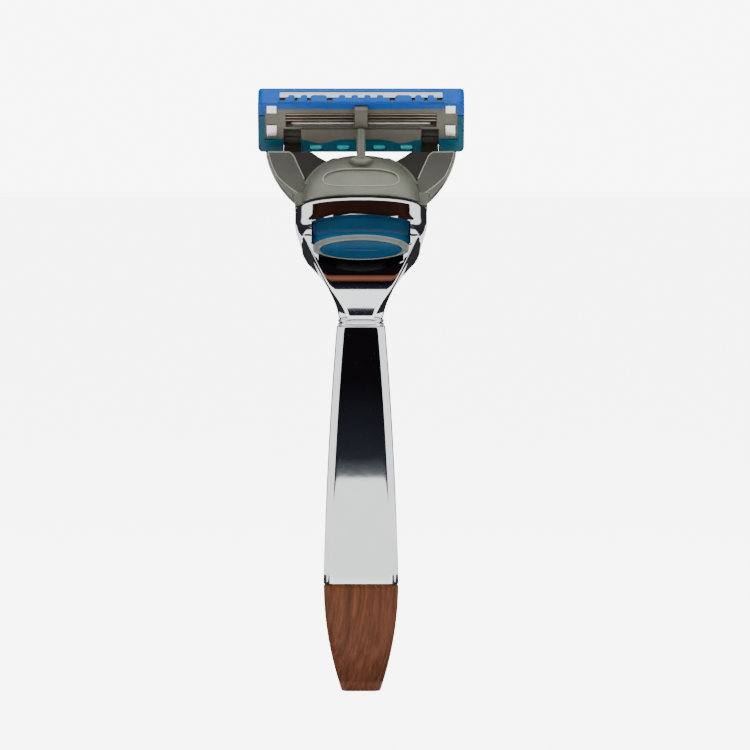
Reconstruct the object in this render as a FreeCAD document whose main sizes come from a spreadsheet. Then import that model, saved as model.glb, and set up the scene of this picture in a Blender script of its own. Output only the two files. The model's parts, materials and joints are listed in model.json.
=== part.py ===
"""Cartridge razor: a weighted chrome handle with a wooden end cap, and a pivoting five-blade cartridge.

Millimetres. +Z runs up the handle from the middle of the end cap's flat bottom, the button is on the
-Y side and the blades face +Y. The object is mirror-symmetric about X = 0.

Three frames are used. Handle pieces are drawn in the part's own frame. Dock pieces are drawn in the
dock frame, whose Z runs out of the head's mouth. Cartridge pieces are drawn in the cartridge frame,
whose X runs along the blades, Y out of the shaving face and Z towards the trimmer.
"""

import FreeCAD
import Part
import math
import os
import re

import Sketcher

Vector = FreeCAD.Vector

SIZES = {
    # end cap and shaft
    "cap_height": 21.6, "cap_end_half_width": 3.9, "cap_end_half_depth": 3.1,
    "seam_half_width": 7.5, "seam_half_depth": 5.7, "shaft_top": 73.1,
    "shaft_top_half_width": 4.85, "shaft_top_half_depth": 4.3, "shaft_bulge": 0.4,
    "face_half_low": 6.0, "face_half_high": 3.3, "face_drop": 1.5,
    "stud_radius": 2.0, "stud_fit": 0.05, "cap_stud_length": 20.0, "cap_stud_depth": 9.0,
    "insert_radius": 2.9, "insert_length": 9.0,
    # neck and head
    "ring_height": 1.3, "ring_half_width": 4.65, "ring_half_depth": 4.25,
    "neck_stud_length": 13.0, "neck_stud_depth": 7.0,
    "neck_half_width": 4.4, "neck_half_depth": 4.0, "flare_height": 19.6,
    "mouth_half_width": 13.3, "mouth_half_depth": 6.0, "neck_power": 3.4, "mouth_power": 2.1,
    "bend_radius": 18.0, "bend_start": 80.0, "shell_wall": 1.4, "shell_floor": 15.2,
    # dock frame
    "dock_tilt": 25.0, "dock_y": 5.75, "dock_z": 96.3, "dock_fit": 0.06,
    "nose_half_width": 8.0, "nose_half_depth": 3.8, "nose_height": 6.0, "nose_taper": 0.24,
    "slide_gap": 0.8, "running_fit": 0.08,
    "window_top": 3.8, "window_bottom": 15.4, "window_half_width": 9.9, "window_low_half_width": 8.5,
    # thumb button
    "button_travel": 2.5, "button_half_width": 9.6, "face_y": -6.75, "face_z": -11.4,
    "face_half_height": 2.5, "face_lean": 30.0, "pad_half_width": 8.2, "pad_half_height": 1.75,
    "pad_thickness": 0.8, "pad_sink": 0.2, "band_end": 6.9, "band_thickness": 0.5,
    "arm_x": 9.05, "arm_width": 1.2, "arm_depth": 2.6, "arm_tip": 2.4, "fork_low": 9.2, "bar_back": 0.35,
    "fork_bar": 1.8, "stem_half_width": 1.4, "seat_z": -11.4, "seat_thickness": 0.8, "stem_reach": 3.0,
    # plunger and spring
    "plunger_y": -1.9, "plunger_radius": 0.9, "tip_z": 16.1, "plunger_flange": 1.25,
    "flange_thickness": 0.9, "flange_z": 0.3, "tip_travel": 5.5, "cam_gap": 0.1,
    "spring_radius": 1.02, "wire": 0.3, "spring_turns": 7.0, "chamber_radius": 1.4,
    # yoke
    "dome_half_width": 12.0, "dome_half_depth": 5.6, "dome_height": 12.1, "dome_lean": 0.8,
    "dome_base": 0.3, "hub_gap": 0.25, "plate_low": 1.3, "plate_high": 3.5, "plate_top": 12.5,
    "plate_radius": 19.5, "plate_bottom": -2.8, "hole_bottom": 9.7, "hole_radius": 15.2,
    "collar_radius": 2.55, "collar_height": 0.45, "collar_z": 9.75,
    "finger_low_x": 12.4, "finger_high_x": 15.4,
    # cartridge frame and pivot
    "cartridge_tilt": 35.0, "cartridge_y": 15.0, "cartridge_z": 114.0,
    "pivot_n": 1.8, "pivot_u": -5.0, "pivot_range": 40.0, "bar_radius": 2.3,
    "tongue_in": 2.36, "tongue_out": 3.15, "notch_radius": 3.3, "notch_margin": 0.25,
    # housing and what it carries
    "cartridge_half": 20.8, "cartridge_half_depth": 2.75, "cartridge_half_height": 6.25,
    "skin": 0.45, "end_skin": 1.4, "blade_half": 18.6, "pocket_half": 18.9, "pocket_low": -1.65,
    "pocket_high": 3.35, "pocket_floor": -1.0, "view_half": 15.2, "bar_half": 1.3,
    "blade_pitch": 0.95, "first_blade": 2.8, "blade_lean": 30.0, "blade_thickness": 0.1,
    "blade_width": 1.05, "support_thickness": 0.25, "support_foot": -0.5, "support_knee": 1.3,
    "ledge_width": 0.85, "blade_travel": 0.25,
    "clip_low_x": 17.0, "clip_width": 2.0, "clip_thickness": 0.25, "clip_high": 3.8,
    "clip_low": -2.1, "tab_high": 5.4, "tab_low": 0.6, "slot_fit": 0.1,
    "strip_half": 17.4, "strip_low": 3.95, "strip_high": 5.35, "strip_floor": 1.5,
    "cap_skirt": 4.75, "cap_end_skirt": 3.2, "comb_half": 16.4, "comb_low": -2.3,
    "comb_high": -0.55, "tooth_width": 1.3, "wide_tooth_width": 3.3, "tooth_pitch": 2.55,
    "wide_tooth_x": 8.5, "trimmer_low": -0.7, "trimmer_high": 1.0, "trimmer_thickness": 0.12,
    "guard_skirt": -2.9, "guard_front": -2.3, "guard_end": 3.0, "fin_pitch": 0.62, "fin_gap": 0.3,
    "fin_depth": 0.25, "port_width": 2.5, "port_low": -5.35, "port_high": -4.2,
    "port_inner": 2.4, "port_outer": 7.9,
}
SIDES = {"left": -1, "right": 1}
BLADES = 5
FINS = 5

document = FreeCAD.newDocument("CartridgeRazor")
sheet = document.addObject("Spreadsheet::Sheet", "Sizes")
for row, (alias, number) in enumerate(SIZES.items(), start=1):
    sheet.set(f"A{row}", alias)
    sheet.set(f"B{row}", str(number))
    sheet.setAlias(f"B{row}", alias)
document.recompute()


def formula(text):
    """An expression over the sheet, from text that names its aliases."""
    return re.sub(r"[a-z_]+", lambda m: f"Sizes.{m[0]}" if m[0] in SIZES else m[0], str(text))


def size(text):
    """The number that such a text works out to."""
    return float(sheet.evalExpression(formula(text)))


def vector(x, y, z):
    """A vector from three texts over the sheet."""
    return Vector(size(x), size(y), size(z))


# ---------------------------------------------------------------- frames

FRAMES = {
    "handle": ("0", "0", "0"),
    "dock": ("dock_y", "dock_z", "-dock_tilt"),
    "cartridge": ("cartridge_y", "cartridge_z", "cartridge_tilt"),
}


def frame_placement(frame):
    """Where a frame's origin lies and how it is turned about X."""
    y, z, turn = FRAMES[frame]
    return FreeCAD.Placement(vector("0", y, z), FreeCAD.Rotation(Vector(1, 0, 0), size(turn)))


def bind_frame(piece, frame):
    """Tie a piece's Placement to its frame."""
    y, z, turn = FRAMES[frame]
    piece.Placement = frame_placement(frame)
    if frame != "handle":
        piece.setExpression("Placement.Base.y", formula(y))
        piece.setExpression("Placement.Base.z", formula(z))
        piece.setExpression("Placement.Rotation.Angle", formula(turn))
        piece.Placement.Rotation.Axis = Vector(1, 0, 0)


# ---------------------------------------------------------------- feature helpers

pieces = []


def new_body(label, frame):
    """A PartDesign body for one piece, seated in its frame."""
    body = document.addObject("PartDesign::Body", label)
    body.Label = label
    bind_frame(body, frame)
    pieces.append(body)
    return body


def shaped(label, frame, shape):
    """A piece whose shape is made by lofts or sweeps in its frame."""
    piece = document.addObject("Part::Feature", label)
    piece.Label = label
    piece.Shape = shape
    piece.Placement = frame_placement(frame).multiply(shape.Placement)
    pieces.append(piece)
    return piece


def attach(body, name, role, offset):
    """A sketch on one of the body's own planes, moved along the plane's normal."""
    sketch = body.newObject("Sketcher::SketchObject", name)
    plane = next(part for part in body.Origin.OriginFeatures if part.Role == role)
    sketch.AttachmentSupport = [(plane, "")]
    sketch.MapMode = "FlatFace"
    sketch.setExpression("AttachmentOffset.Base.z", formula(offset))
    return sketch


def pin_point(sketch, element, place, x, y):
    """Fix a sketch point at a place given by two texts."""
    for kind, text in (("DistanceX", x), ("DistanceY", y)):
        number = sketch.addConstraint(Sketcher.Constraint(kind, -1, 1, element, place, size(text)))
        sketch.setExpression(f"Constraints[{number}]", formula(text))


def outline(sketch, points):
    """A closed outline of straight edges through points given as texts."""
    corners = [vector(x, y, "0") for x, y in points]
    first = sketch.GeometryCount
    count = len(corners)
    for index in range(count):
        sketch.addGeometry(Part.LineSegment(corners[index], corners[(index + 1) % count]), False)
    for index in range(count):
        following = first + (index + 1) % count
        sketch.addConstraint(Sketcher.Constraint("Coincident", first + index, 2, following, 1))
    for index, (x, y) in enumerate(points):
        pin_point(sketch, first + index, 1, x, y)


def circle(sketch, x, y, radius):
    """A circle whose centre and radius are texts."""
    element = sketch.addGeometry(Part.Circle(vector(x, y, "0"), Vector(0, 0, 1), size(radius)), False)
    pin_point(sketch, element, 3, x, y)
    number = sketch.addConstraint(Sketcher.Constraint("Radius", element, size(radius)))
    sketch.setExpression(f"Constraints[{number}]", formula(radius))


def rectangle(low_x, high_x, low_y, high_y):
    """The four corners of a rectangle, as texts."""
    return [(low_x, low_y), (high_x, low_y), (high_x, high_y), (low_x, high_y)]


def extrude(body, name, kind, role, low, high, draw):
    """A pad or pocket of a drawn sketch from low to high along the plane's axis."""
    before = body.Shape.Volume if body.Tip else 0.0
    backwards = role == "XZ_Plane"
    sketch = attach(body, name + "_sketch", role, f"-({high})" if backwards else low)
    draw(sketch)
    feature = body.newObject(kind, name)
    feature.Profile = sketch
    feature.setExpression("Length", formula(f"({high}) - ({low})"))
    feature.Reversed = kind == "PartDesign::Pocket"
    body.Tip = feature
    document.recompute()
    grown = body.Shape.Volume - before
    if (kind == "PartDesign::Pocket") == (grown > -1e-6):
        raise RuntimeError(f"{body.Label}: {name} changes nothing")
    return feature


def pad(body, name, role, low, high, points):
    """A prism added to a body."""
    return extrude(body, name, "PartDesign::Pad", role, low, high, lambda s: outline(s, points))


def pocket(body, name, role, low, high, points):
    """A prism cut from a body."""
    return extrude(body, name, "PartDesign::Pocket", role, low, high, lambda s: outline(s, points))


def round_pad(body, name, role, low, high, x, y, radius):
    """A cylinder added to a body."""
    return extrude(body, name, "PartDesign::Pad", role, low, high, lambda s: circle(s, x, y, radius))


def round_pocket(body, name, role, low, high, x, y, radius):
    """A cylinder cut from a body."""
    return extrude(body, name, "PartDesign::Pocket", role, low, high, lambda s: circle(s, x, y, radius))


def box(low_x, high_x, low_y, high_y, low_z, high_z):
    """A plain box between numbers."""
    corner = Vector(low_x, low_y, low_z)
    return Part.makeBox(high_x - low_x, high_y - low_y, high_z - low_z, corner)


def prism(points, axis, low, high):
    """A prism of an outline drawn across the X or Y axis, between two numbers on that axis."""
    if axis == "X":
        corners = [Vector(low, y, z) for y, z in points]
        run = Vector(high - low, 0, 0)
    else:
        corners = [Vector(x, low, z) for x, z in points]
        run = Vector(0, high - low, 0)
    return Part.Face(Part.makePolygon(corners + corners[:1])).extrude(run)


# ---------------------------------------------------------------- rounded sections

SECTION_POINTS = 24


def superellipse(half_x, half_y, power):
    """Points round a section that is an ellipse at power 2 and squarer above it."""
    points = []
    for step in range(SECTION_POINTS):
        turn = 2 * math.pi * step / SECTION_POINTS
        across = math.copysign(abs(math.cos(turn)) ** (2 / power), math.cos(turn))
        through = math.copysign(abs(math.sin(turn)) ** (2 / power), math.sin(turn))
        points.append(Vector(half_x * across, half_y * through, 0))
    return points


def rounded_wire(half_x, half_y, power, placement):
    """A smooth closed section, placed."""
    curve = Part.BSplineCurve()
    curve.interpolate([placement.multVec(p) for p in superellipse(half_x, half_y, power)],
                      PeriodicFlag=True)
    return Part.Wire(curve.toShape())


def at_height(height, lean=0.0):
    """A level section plane at a height, moved along Y."""
    return FreeCAD.Placement(Vector(0, lean, height), FreeCAD.Rotation())


# ---------------------------------------------------------------- end cap and shaft

def octagon(half_x, half_y, face_half, drop, height):
    """An eight-sided section: flat front and back, flat sides and bevelled corners."""
    side = half_y - drop
    corners = [(face_half, -half_y), (half_x, -side), (half_x, side), (face_half, half_y)]
    corners += [(-x, y) for x, y in reversed(corners)]
    points = [Vector(x, y, height) for x, y in corners]
    return Part.makePolygon(points + points[:1])


def shaft_section(height):
    """The shaft's section at a height, swelling slightly between the seam and the neck."""
    part = (height - size("cap_height")) / size("shaft_top - cap_height")
    swell = 4 * size("shaft_bulge") * part * (1 - part)

    def between(low, high):
        return size(low) + (size(high) - size(low)) * part

    return octagon(between("seam_half_width", "shaft_top_half_width") + swell,
                   between("seam_half_depth", "shaft_top_half_depth"),
                   between("face_half_low", "face_half_high") + swell, size("face_drop"), height)


def cap_section(height):
    """The end cap's section, which curves in towards its flat bottom."""
    part = 1 - height / size("cap_height")

    def curved(seam, end):
        return size(seam) + (size(end) - size(seam)) * part ** 2

    half_x = curved("seam_half_width", "cap_end_half_width")
    share = size("face_half_low / seam_half_width")
    drop = size("face_drop") * (1 - 0.4 * part)
    return octagon(half_x, curved("seam_half_depth", "cap_end_half_depth"), half_x * share, drop, height)


def stud_hole(centre, length, radius):
    """A round hole along Z."""
    return Part.makeCylinder(radius, length, Vector(0, 0, centre))


seam = size("cap_height")
stud_bore = size("stud_radius + stud_fit")
cap_stud_low = size("cap_height - cap_stud_depth")
neck_stud_low = size("shaft_top - neck_stud_depth")

stations = [seam + (size("shaft_top") - seam) * step / 4 for step in range(5)]
shaft = Part.makeLoft([shaft_section(height) for height in stations], True, True)
shaft = shaft.cut(stud_hole(seam, size("cap_stud_length - cap_stud_depth") + 1, stud_bore))
shaft = shaft.cut(stud_hole(neck_stud_low - 1, size("neck_stud_depth") + 1, stud_bore))
shaped("handle_shaft", "handle", shaft)

cap = Part.makeLoft([cap_section(seam * step / 5) for step in range(6)], True, True)
insert_low = seam - size("insert_length")
cap = cap.cut(stud_hole(insert_low, size("insert_length"), size("insert_radius + stud_fit")))
shaped("end_cap", "handle", cap)

insert = new_body("cap_insert", "handle")
round_pad(insert, "bush", "XY_Plane", "cap_height - insert_length", "cap_height", "0", "0", "insert_radius")
round_pocket(insert, "bore", "XY_Plane", "cap_height - insert_length", "cap_height", "0", "0",
             "stud_radius + stud_fit")

cap_stud = new_body("cap_stud", "handle")
round_pad(cap_stud, "rod", "XY_Plane", "cap_height - cap_stud_depth",
          "cap_height - cap_stud_depth + cap_stud_length", "0", "0", "stud_radius")

neck_stud = new_body("neck_stud", "handle")
round_pad(neck_stud, "rod", "XY_Plane", "shaft_top - neck_stud_depth",
          "shaft_top - neck_stud_depth + neck_stud_length", "0", "0", "stud_radius")


def neck_ring():
    """The slim ring between shaft and head, with a groove round its middle."""
    low = size("shaft_top")
    height = size("ring_height")
    sections = []
    for part, inset in ((0, 0), (0.35, 0), (0.5, 0.3), (0.65, 0), (1, 0.15)):
        sections.append(rounded_wire(size("ring_half_width") - inset, size("ring_half_depth") - inset,
                                     size("neck_power"), at_height(low + height * part)))
    ring = Part.makeLoft(sections, True, True)
    return ring.cut(stud_hole(low, height, stud_bore))


shaped("neck_ring", "handle", neck_ring())


# ---------------------------------------------------------------- head shell

def head_axis(station):
    """The head's middle line: straight up from the neck, bent back, then straight to the mouth.

    The station is the length along the dock axis below the mouth, as a positive number.
    """
    tilt = math.radians(size("dock_tilt"))
    radius = size("bend_radius")
    bend_end = Vector(0, radius * (1 - math.cos(tilt)), size("bend_start") + radius * math.sin(tilt))
    straight = (vector("0", "dock_y", "dock_z") - bend_end).Length
    if station <= straight:
        turn = tilt
        middle = bend_end + Vector(0, math.sin(tilt), math.cos(tilt)) * (straight - station)
    elif station <= straight + radius * tilt:
        turn = tilt - (station - straight) / radius
        middle = Vector(0, radius * (1 - math.cos(turn)), size("bend_start") + radius * math.sin(turn))
    else:
        turn = 0.0
        middle = Vector(0, 0, size("bend_start") - (station - straight - radius * tilt))
    return FreeCAD.Placement(middle, FreeCAD.Rotation(Vector(1, 0, 0), -math.degrees(turn)))


def head_length():
    """Length of the head's middle line from the mouth down to the neck ring."""
    tilt = math.radians(size("dock_tilt"))
    radius = size("bend_radius")
    bend_end_z = size("bend_start") + radius * math.sin(tilt)
    straight = (size("dock_z") - bend_end_z) / math.cos(tilt)
    return straight + radius * tilt + size("bend_start - shaft_top - ring_height")


HEAD_LENGTH = head_length()


def head_section(station, inset, placement):
    """The head's section at a station, drawn in by an inset: it flares from the neck to the mouth."""
    rise = min(1.0, (HEAD_LENGTH - station) / size("flare_height"))
    flare = math.sin(math.pi / 2 * rise) ** 2
    half_x = size("neck_half_width") + size("mouth_half_width - neck_half_width") * flare
    half_y = size("neck_half_depth") + size("mouth_half_depth - neck_half_depth") * flare
    power = size("neck_power") + size("mouth_power - neck_power") * flare
    return rounded_wire(half_x - inset, half_y - inset, power, placement)


def head_loft(inset, lowest, steps):
    """The head's outer form, drawn in by an inset, from a station up to the mouth."""
    stations = [lowest * (1 - step / steps) for step in range(steps + 1)]
    wires = [head_section(station, inset, head_axis(station)) for station in stations]
    return Part.makeLoft(wires, True, False)


def to_dock(shape):
    """A shape drawn in the part's frame, carried into the dock frame."""
    moved = shape.copy()
    moved.Placement = frame_placement("dock").inverse().multiply(moved.Placement)
    return moved


def window_prism(gap):
    """The thumb window, drawn in by a gap: shallow arcs above and below, sides drawn in."""
    top = -size("window_top") - gap
    bottom = -size("window_bottom") + gap
    wide = size("window_half_width") - gap
    narrow = size("window_low_half_width") - gap
    shoulder = top - 0.6
    corner = bottom + 1.9
    upper = Part.Arc(Vector(-wide, 0, shoulder), Vector(0, 0, top), Vector(wide, 0, shoulder))
    lower = Part.Arc(Vector(narrow, 0, corner), Vector(0, 0, bottom), Vector(-narrow, 0, corner))
    right = Part.LineSegment(upper.EndPoint, lower.StartPoint)
    left = Part.LineSegment(lower.EndPoint, upper.StartPoint)
    wire = Part.Wire([upper.toShape(), right.toShape(), lower.toShape(), left.toShape()])
    opening = Part.Face(wire).extrude(Vector(0, -12, 0))
    opening.translate(Vector(0, -1.2, 0))
    return opening


WALL = size("shell_wall")
FLOOR = size("shell_floor")
MOUTH = size("mouth_half_width") + 1
outer_form = to_dock(head_loft(0, HEAD_LENGTH, 14))
cavity_form = to_dock(head_loft(WALL, FLOOR, 8))
shell = outer_form.cut(cavity_form).cut(window_prism(0))
neck_hole = to_dock(stud_hole(size("shaft_top") - 1, size("neck_stud_length - neck_stud_depth") + 1.5,
                              stud_bore))
shaped("head_shell", "dock", shell.cut(neck_hole))


# ---------------------------------------------------------------- dock body inside the head

def nose_form(clearance, height):
    """The tapering nose that the yoke slides over, grown by a clearance."""
    wires = []
    for step in range(4):
        level = height * step / 3
        shrink = 1 - size("nose_taper") * level / size("nose_height")
        wires.append(rounded_wire(size("nose_half_width") * shrink + clearance,
                                  size("nose_half_depth") * shrink + clearance, 2.3, at_height(level)))
    return Part.makeLoft(wires, True, False)


GAP = size("slide_gap")
FIT = size("dock_fit")
RUN = size("running_fit")
ARM_LOW = size("arm_x - arm_width / 2")
ARM_HIGH = size("arm_x + arm_width / 2")
ARM_HALF = size("arm_depth / 2")
FORK_LOW = -size("fork_low")
TRAVEL = size("button_travel")


def dock_body():
    """Plastic insert: it fills the head, guides plunger, fork and button, and ends in the nose."""
    insert_form = to_dock(head_loft(WALL + FIT, FLOOR - FIT, 8))
    slide_low = head_section(FLOOR - 1, WALL + GAP + 0.4, at_height(-FLOOR))
    core_form = Part.Face(slide_low).extrude(Vector(0, 0, FLOOR + 1))
    front = box(-MOUTH, MOUTH, -MOUTH, -0.6, -FLOOR + 0.6, 1)
    slide_way = insert_form.cut(core_form).common(front)
    body = insert_form.cut(slide_way).fuse(nose_form(0, size("nose_height")))
    for side in SIDES.values():
        low, high = sorted((side * (ARM_LOW - 0.3), side * (ARM_HIGH + 0.3)))
        body = body.cut(box(low, high, -ARM_HALF - 0.3, ARM_HALF + 0.3, FORK_LOW - 0.3, 1))
    bar_top = FORK_LOW + size("fork_bar") + TRAVEL + 0.3
    body = body.cut(box(-ARM_HIGH - 0.3, ARM_HIGH + 0.3, -ARM_HALF - 0.3, ARM_HALF + 0.3,
                        FORK_LOW - 0.3, bar_top))
    stem = size("stem_half_width") + 0.3
    body = body.cut(box(-stem, stem, -MOUTH, ARM_HALF + 0.3,
                        size("seat_z - seat_thickness") - 0.3, bar_top))
    axis = vector("0", "plunger_y", "seat_z")
    chamber = size("chamber_radius")
    chamber_top = size("flange_z + running_fit")
    body = body.cut(Part.makeCylinder(chamber, chamber_top - axis.z, axis))
    guide = size("plunger_radius") + RUN
    body = body.cut(Part.makeCylinder(guide, 20, axis))
    return body.cut(box(-guide, guide, -MOUTH, axis.y, chamber_top, 10))


shaped("dock_body", "dock", dock_body())


# ---------------------------------------------------------------- thumb button and ejector fork

def face_placement():
    """The button's oval face: centre on the button, Z out of the face, X along the blades."""
    turn = FreeCAD.Rotation(Vector(1, 0, 0), 90 + size("face_lean"))
    return FreeCAD.Placement(vector("0", "face_y", "face_z"), turn)


def oval(half_x, half_y, low, high):
    """An oval plate on the button's face, between two depths below the face."""
    ellipse = Part.Ellipse(Vector(0, 0, 0), half_x, half_y)
    plate = Part.Face(Part.Wire(ellipse.toShape())).extrude(Vector(0, 0, high - low))
    plate.translate(Vector(0, 0, low))
    plate.Placement = face_placement().multiply(plate.Placement)
    return plate


def thumb_slider():
    """The button's body: a curved plate behind the window and the hump that the thumb pushes."""
    thickness = size("band_thickness")
    outside = to_dock(head_loft(WALL + 0.12, FLOOR - 1.0, 8))
    inside = to_dock(head_loft(WALL + 0.12 + thickness, FLOOR - 0.9, 8))
    half = size("button_half_width")
    top = -size("window_top") + 0.6
    plate = outside.cut(inside).common(box(-half, half, -MOUTH, -0.8, -FLOOR + 1.2, top))
    face = face_placement()
    sink = -size("pad_thickness")
    high_edge = face.multVec(Vector(0, size("face_half_height"), sink))
    low_edge = face.multVec(Vector(0, -size("face_half_height"), sink))
    root = -3.2
    side_view = [(root, low_edge.z), (low_edge.y, low_edge.z), (high_edge.y, high_edge.z),
                 (-4.6, -size("band_end")), (root, -size("band_end"))]
    hump = prism(side_view, "X", -half, half)
    front_view = Part.Ellipse(Vector(0, 0, 0), half, 4.6)
    drum = Part.Face(Part.Wire(front_view.toShape())).extrude(Vector(0, 0, 12))
    drum.Placement = FreeCAD.Placement(Vector(0, 0, high_edge.z - 0.9),
                                       FreeCAD.Rotation(Vector(1, 0, 0), 90))
    hump = hump.common(drum).common(window_prism(0.3)).cut(inside)
    stem = size("stem_half_width")
    seat = size("seat_z")
    boss = box(-stem, stem, -4.0, -size("stem_reach"), seat - size("seat_thickness"), seat)
    return plate.fuse(hump).fuse(boss).removeSplitter()


shaped("thumb_slider", "dock", thumb_slider())
RING_HALF = size("button_half_width")
rim = oval(RING_HALF, size("face_half_height"), -size("pad_thickness"), 0)
rim = rim.cut(oval(size("pad_half_width"), size("pad_half_height"), -size("pad_thickness"), 0))
shaped("button_rim", "dock", rim)
pad_shape = oval(size("pad_half_width") - 0.05, size("pad_half_height") - 0.05,
                 -size("pad_thickness"), -size("pad_sink"))
shaped("button_pad", "dock", pad_shape)

fork = new_body("ejector_fork", "dock")
pad(fork, "crossbar", "XY_Plane", "-fork_low", "-fork_low + fork_bar",
    rectangle("-arm_x - arm_width / 2", "arm_x + arm_width / 2", "-bar_back", "arm_depth / 2"))
for side_name, side in SIDES.items():
    pad(fork, f"arm_{side_name}", "XY_Plane", "-fork_low + fork_bar", "-arm_tip",
        rectangle(f"{side} * arm_x - arm_width / 2", f"{side} * arm_x + arm_width / 2",
                  "-arm_depth / 2", "arm_depth / 2"))
pad(fork, "stem", "YZ_Plane", "-stem_half_width", "stem_half_width",
    [("-stem_reach", "seat_z - seat_thickness"), ("arm_depth / 2", "seat_z - seat_thickness"),
     ("arm_depth / 2", "-fork_low"), ("-bar_back", "-fork_low"), ("-bar_back", "seat_z"),
     ("-stem_reach", "seat_z")])


# ---------------------------------------------------------------- plunger and its spring

def plunger():
    """A turned rod with a domed tip and a flange that the spring lifts."""
    radius = size("plunger_radius")
    axis_y = size("plunger_y")
    foot = size("flange_z - flange_thickness")
    rod = Part.makeCylinder(radius, size("tip_z") - foot, Vector(0, axis_y, foot))
    tip = Part.makeSphere(radius, Vector(0, axis_y, size("tip_z")))
    flange = Part.makeCylinder(size("plunger_flange"), size("flange_thickness"), Vector(0, axis_y, foot))
    return rod.fuse(tip).fuse(flange).removeSplitter()


def coil_spring():
    """One round-wire spring between the plunger's flange and the fork's seat."""
    low = size("seat_z + wire / 2") + 0.02
    high = size("flange_z - flange_thickness - wire / 2") - 0.02
    helix = Part.makeHelix((high - low) / size("spring_turns"), high - low, size("spring_radius"))
    section = Part.Wire(Part.makeCircle(size("wire / 2"), Vector(size("spring_radius"), 0, 0),
                                        Vector(0, 1, 0)))
    wire = Part.Wire(helix).makePipeShell([section], True, True)
    wire.translate(Vector(0, size("plunger_y"), low))
    return wire


shaped("plunger", "dock", plunger())
shaped("return_spring", "dock", coil_spring())


# ---------------------------------------------------------------- yoke

def dome_form():
    """The hub that covers the nose, leaning back as it rises to a rounded top."""
    wires = []
    base = size("dome_base")
    for part in (0, 0.2, 0.4, 0.58, 0.74, 0.87, 0.95, 0.985):
        level = base + (size("dome_height") - base) * part
        share = level / size("dome_height")
        half_width = size("dome_half_width") * (1 - share ** 2.2) ** 0.45
        half_depth = size("dome_half_depth") * (1 - share ** 1.5) ** 0.6
        wires.append(rounded_wire(half_width, half_depth, 2.3,
                                  at_height(level, size("dome_lean") * share)))
    return Part.makeLoft(wires, True, False)


def crescent_plate():
    """The pair of arms: a plate between an outer arc and the arc of the opening above the dome."""
    low = size("plate_low")
    run = Vector(0, size("plate_high") - low, 0)
    outer = Part.makeCylinder(size("plate_radius"), run.y,
                              Vector(0, low, size("plate_bottom + plate_radius")), Vector(0, 1, 0))
    hole = Part.makeCylinder(size("hole_radius"), run.y,
                             Vector(0, low, size("hole_bottom + hole_radius")), Vector(0, 1, 0))
    reach = size("plate_radius") + 1
    band = box(-reach, reach, low, low + run.y, size("dome_base"), size("plate_top"))
    return outer.common(band).cut(hole)


def pivot_sector(inner, outer, first, last, low_x, high_x):
    """A ring sector about the pivot, drawn in the cartridge frame between two angles from +Y."""
    centre = vector("0", "pivot_n", "pivot_u")

    def point(radius, angle):
        turn = math.radians(angle)
        return Vector(low_x, centre.y + radius * math.cos(turn), centre.z + radius * math.sin(turn))

    middle = (first + last) / 2
    rise = Part.Arc(point(outer, first), point(outer, middle), point(outer, last))
    fall = Part.Arc(point(inner, last), point(inner, middle), point(inner, first))
    edges = [rise.toShape(), Part.makeLine(rise.EndPoint, fall.StartPoint), fall.toShape(),
             Part.makeLine(fall.EndPoint, rise.StartPoint)]
    return Part.Face(Part.Wire(edges)).extrude(Vector(high_x - low_x, 0, 0))


def finger(side):
    """One finger and its bearing tongue, from the arm's top to the arc round the pivot."""
    low_x, high_x = sorted((side * size("finger_low_x"), side * size("finger_high_x")))
    tongue = pivot_sector(size("tongue_in"), size("tongue_out"), 150, 200, low_x, high_x)
    y = size("pivot_n")
    z = size("pivot_u")
    inner = y - size("tongue_in") - 0.45
    beam = prism([(y - 7.9, z - 1.0), (inner, z - 1.0), (inner, z + 0.5), (y - 7.3, z + 0.5)],
                 "X", low_x, high_x)
    return tongue.fuse(beam)


def cartridge_to_dock(shape):
    """A shape drawn in the cartridge frame at rest, carried into the dock frame."""
    moved = shape.copy()
    moved.Placement = frame_placement("cartridge").multiply(moved.Placement)
    return to_dock(moved)


def yoke():
    """Hub, arms and bearing fingers of the cartridge carrier, in one moulding."""
    axis = vector("0", "plunger_y", "0")
    body = dome_form().fuse(crescent_plate())
    for side in SIDES.values():
        body = body.fuse(cartridge_to_dock(finger(side)))
    collar = Part.makeCylinder(size("collar_radius"), size("collar_height") + 3.0,
                               Vector(0, axis.y, size("collar_z - collar_height") - 3.0))
    body = body.fuse(collar)
    above = Part.makeCylinder(size("collar_radius") + 0.6, 6, Vector(0, axis.y, size("collar_z")))
    body = body.cut(above.common(box(-MOUTH, MOUTH, -MOUTH, 1.2, 0, 20)))
    body = body.cut(nose_form(size("hub_gap"), size("nose_height + hub_gap")))
    return body.cut(Part.makeCylinder(size("plunger_radius") + 0.25, 20, axis)).removeSplitter()


shaped("yoke", "dock", yoke())


# ---------------------------------------------------------------- cartridge housing

CORE_BACK = "-cartridge_half_depth + skin"
CORE_FRONT = "cartridge_half_depth - skin"
CORE_LOW = "-cartridge_half_height + skin"
CORE_HIGH = "cartridge_half_height - 0.55"
CORE_HALF = "cartridge_half - end_skin"


def tip_in_housing(swing):
    """The plunger tip's centre in the cartridge frame when the cartridge has swung by an angle."""
    share = swing / size("pivot_range")
    tip = frame_placement("dock").multVec(Vector(0, size("plunger_y"),
                                                 size("tip_z") - size("tip_travel") * share))
    frame = frame_placement("cartridge")
    pivot = frame.multVec(vector("0", "pivot_n", "pivot_u"))
    back = FreeCAD.Rotation(Vector(1, 0, 0), -swing)
    return frame.inverse().multVec(back.multVec(tip - pivot) + pivot)


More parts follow.
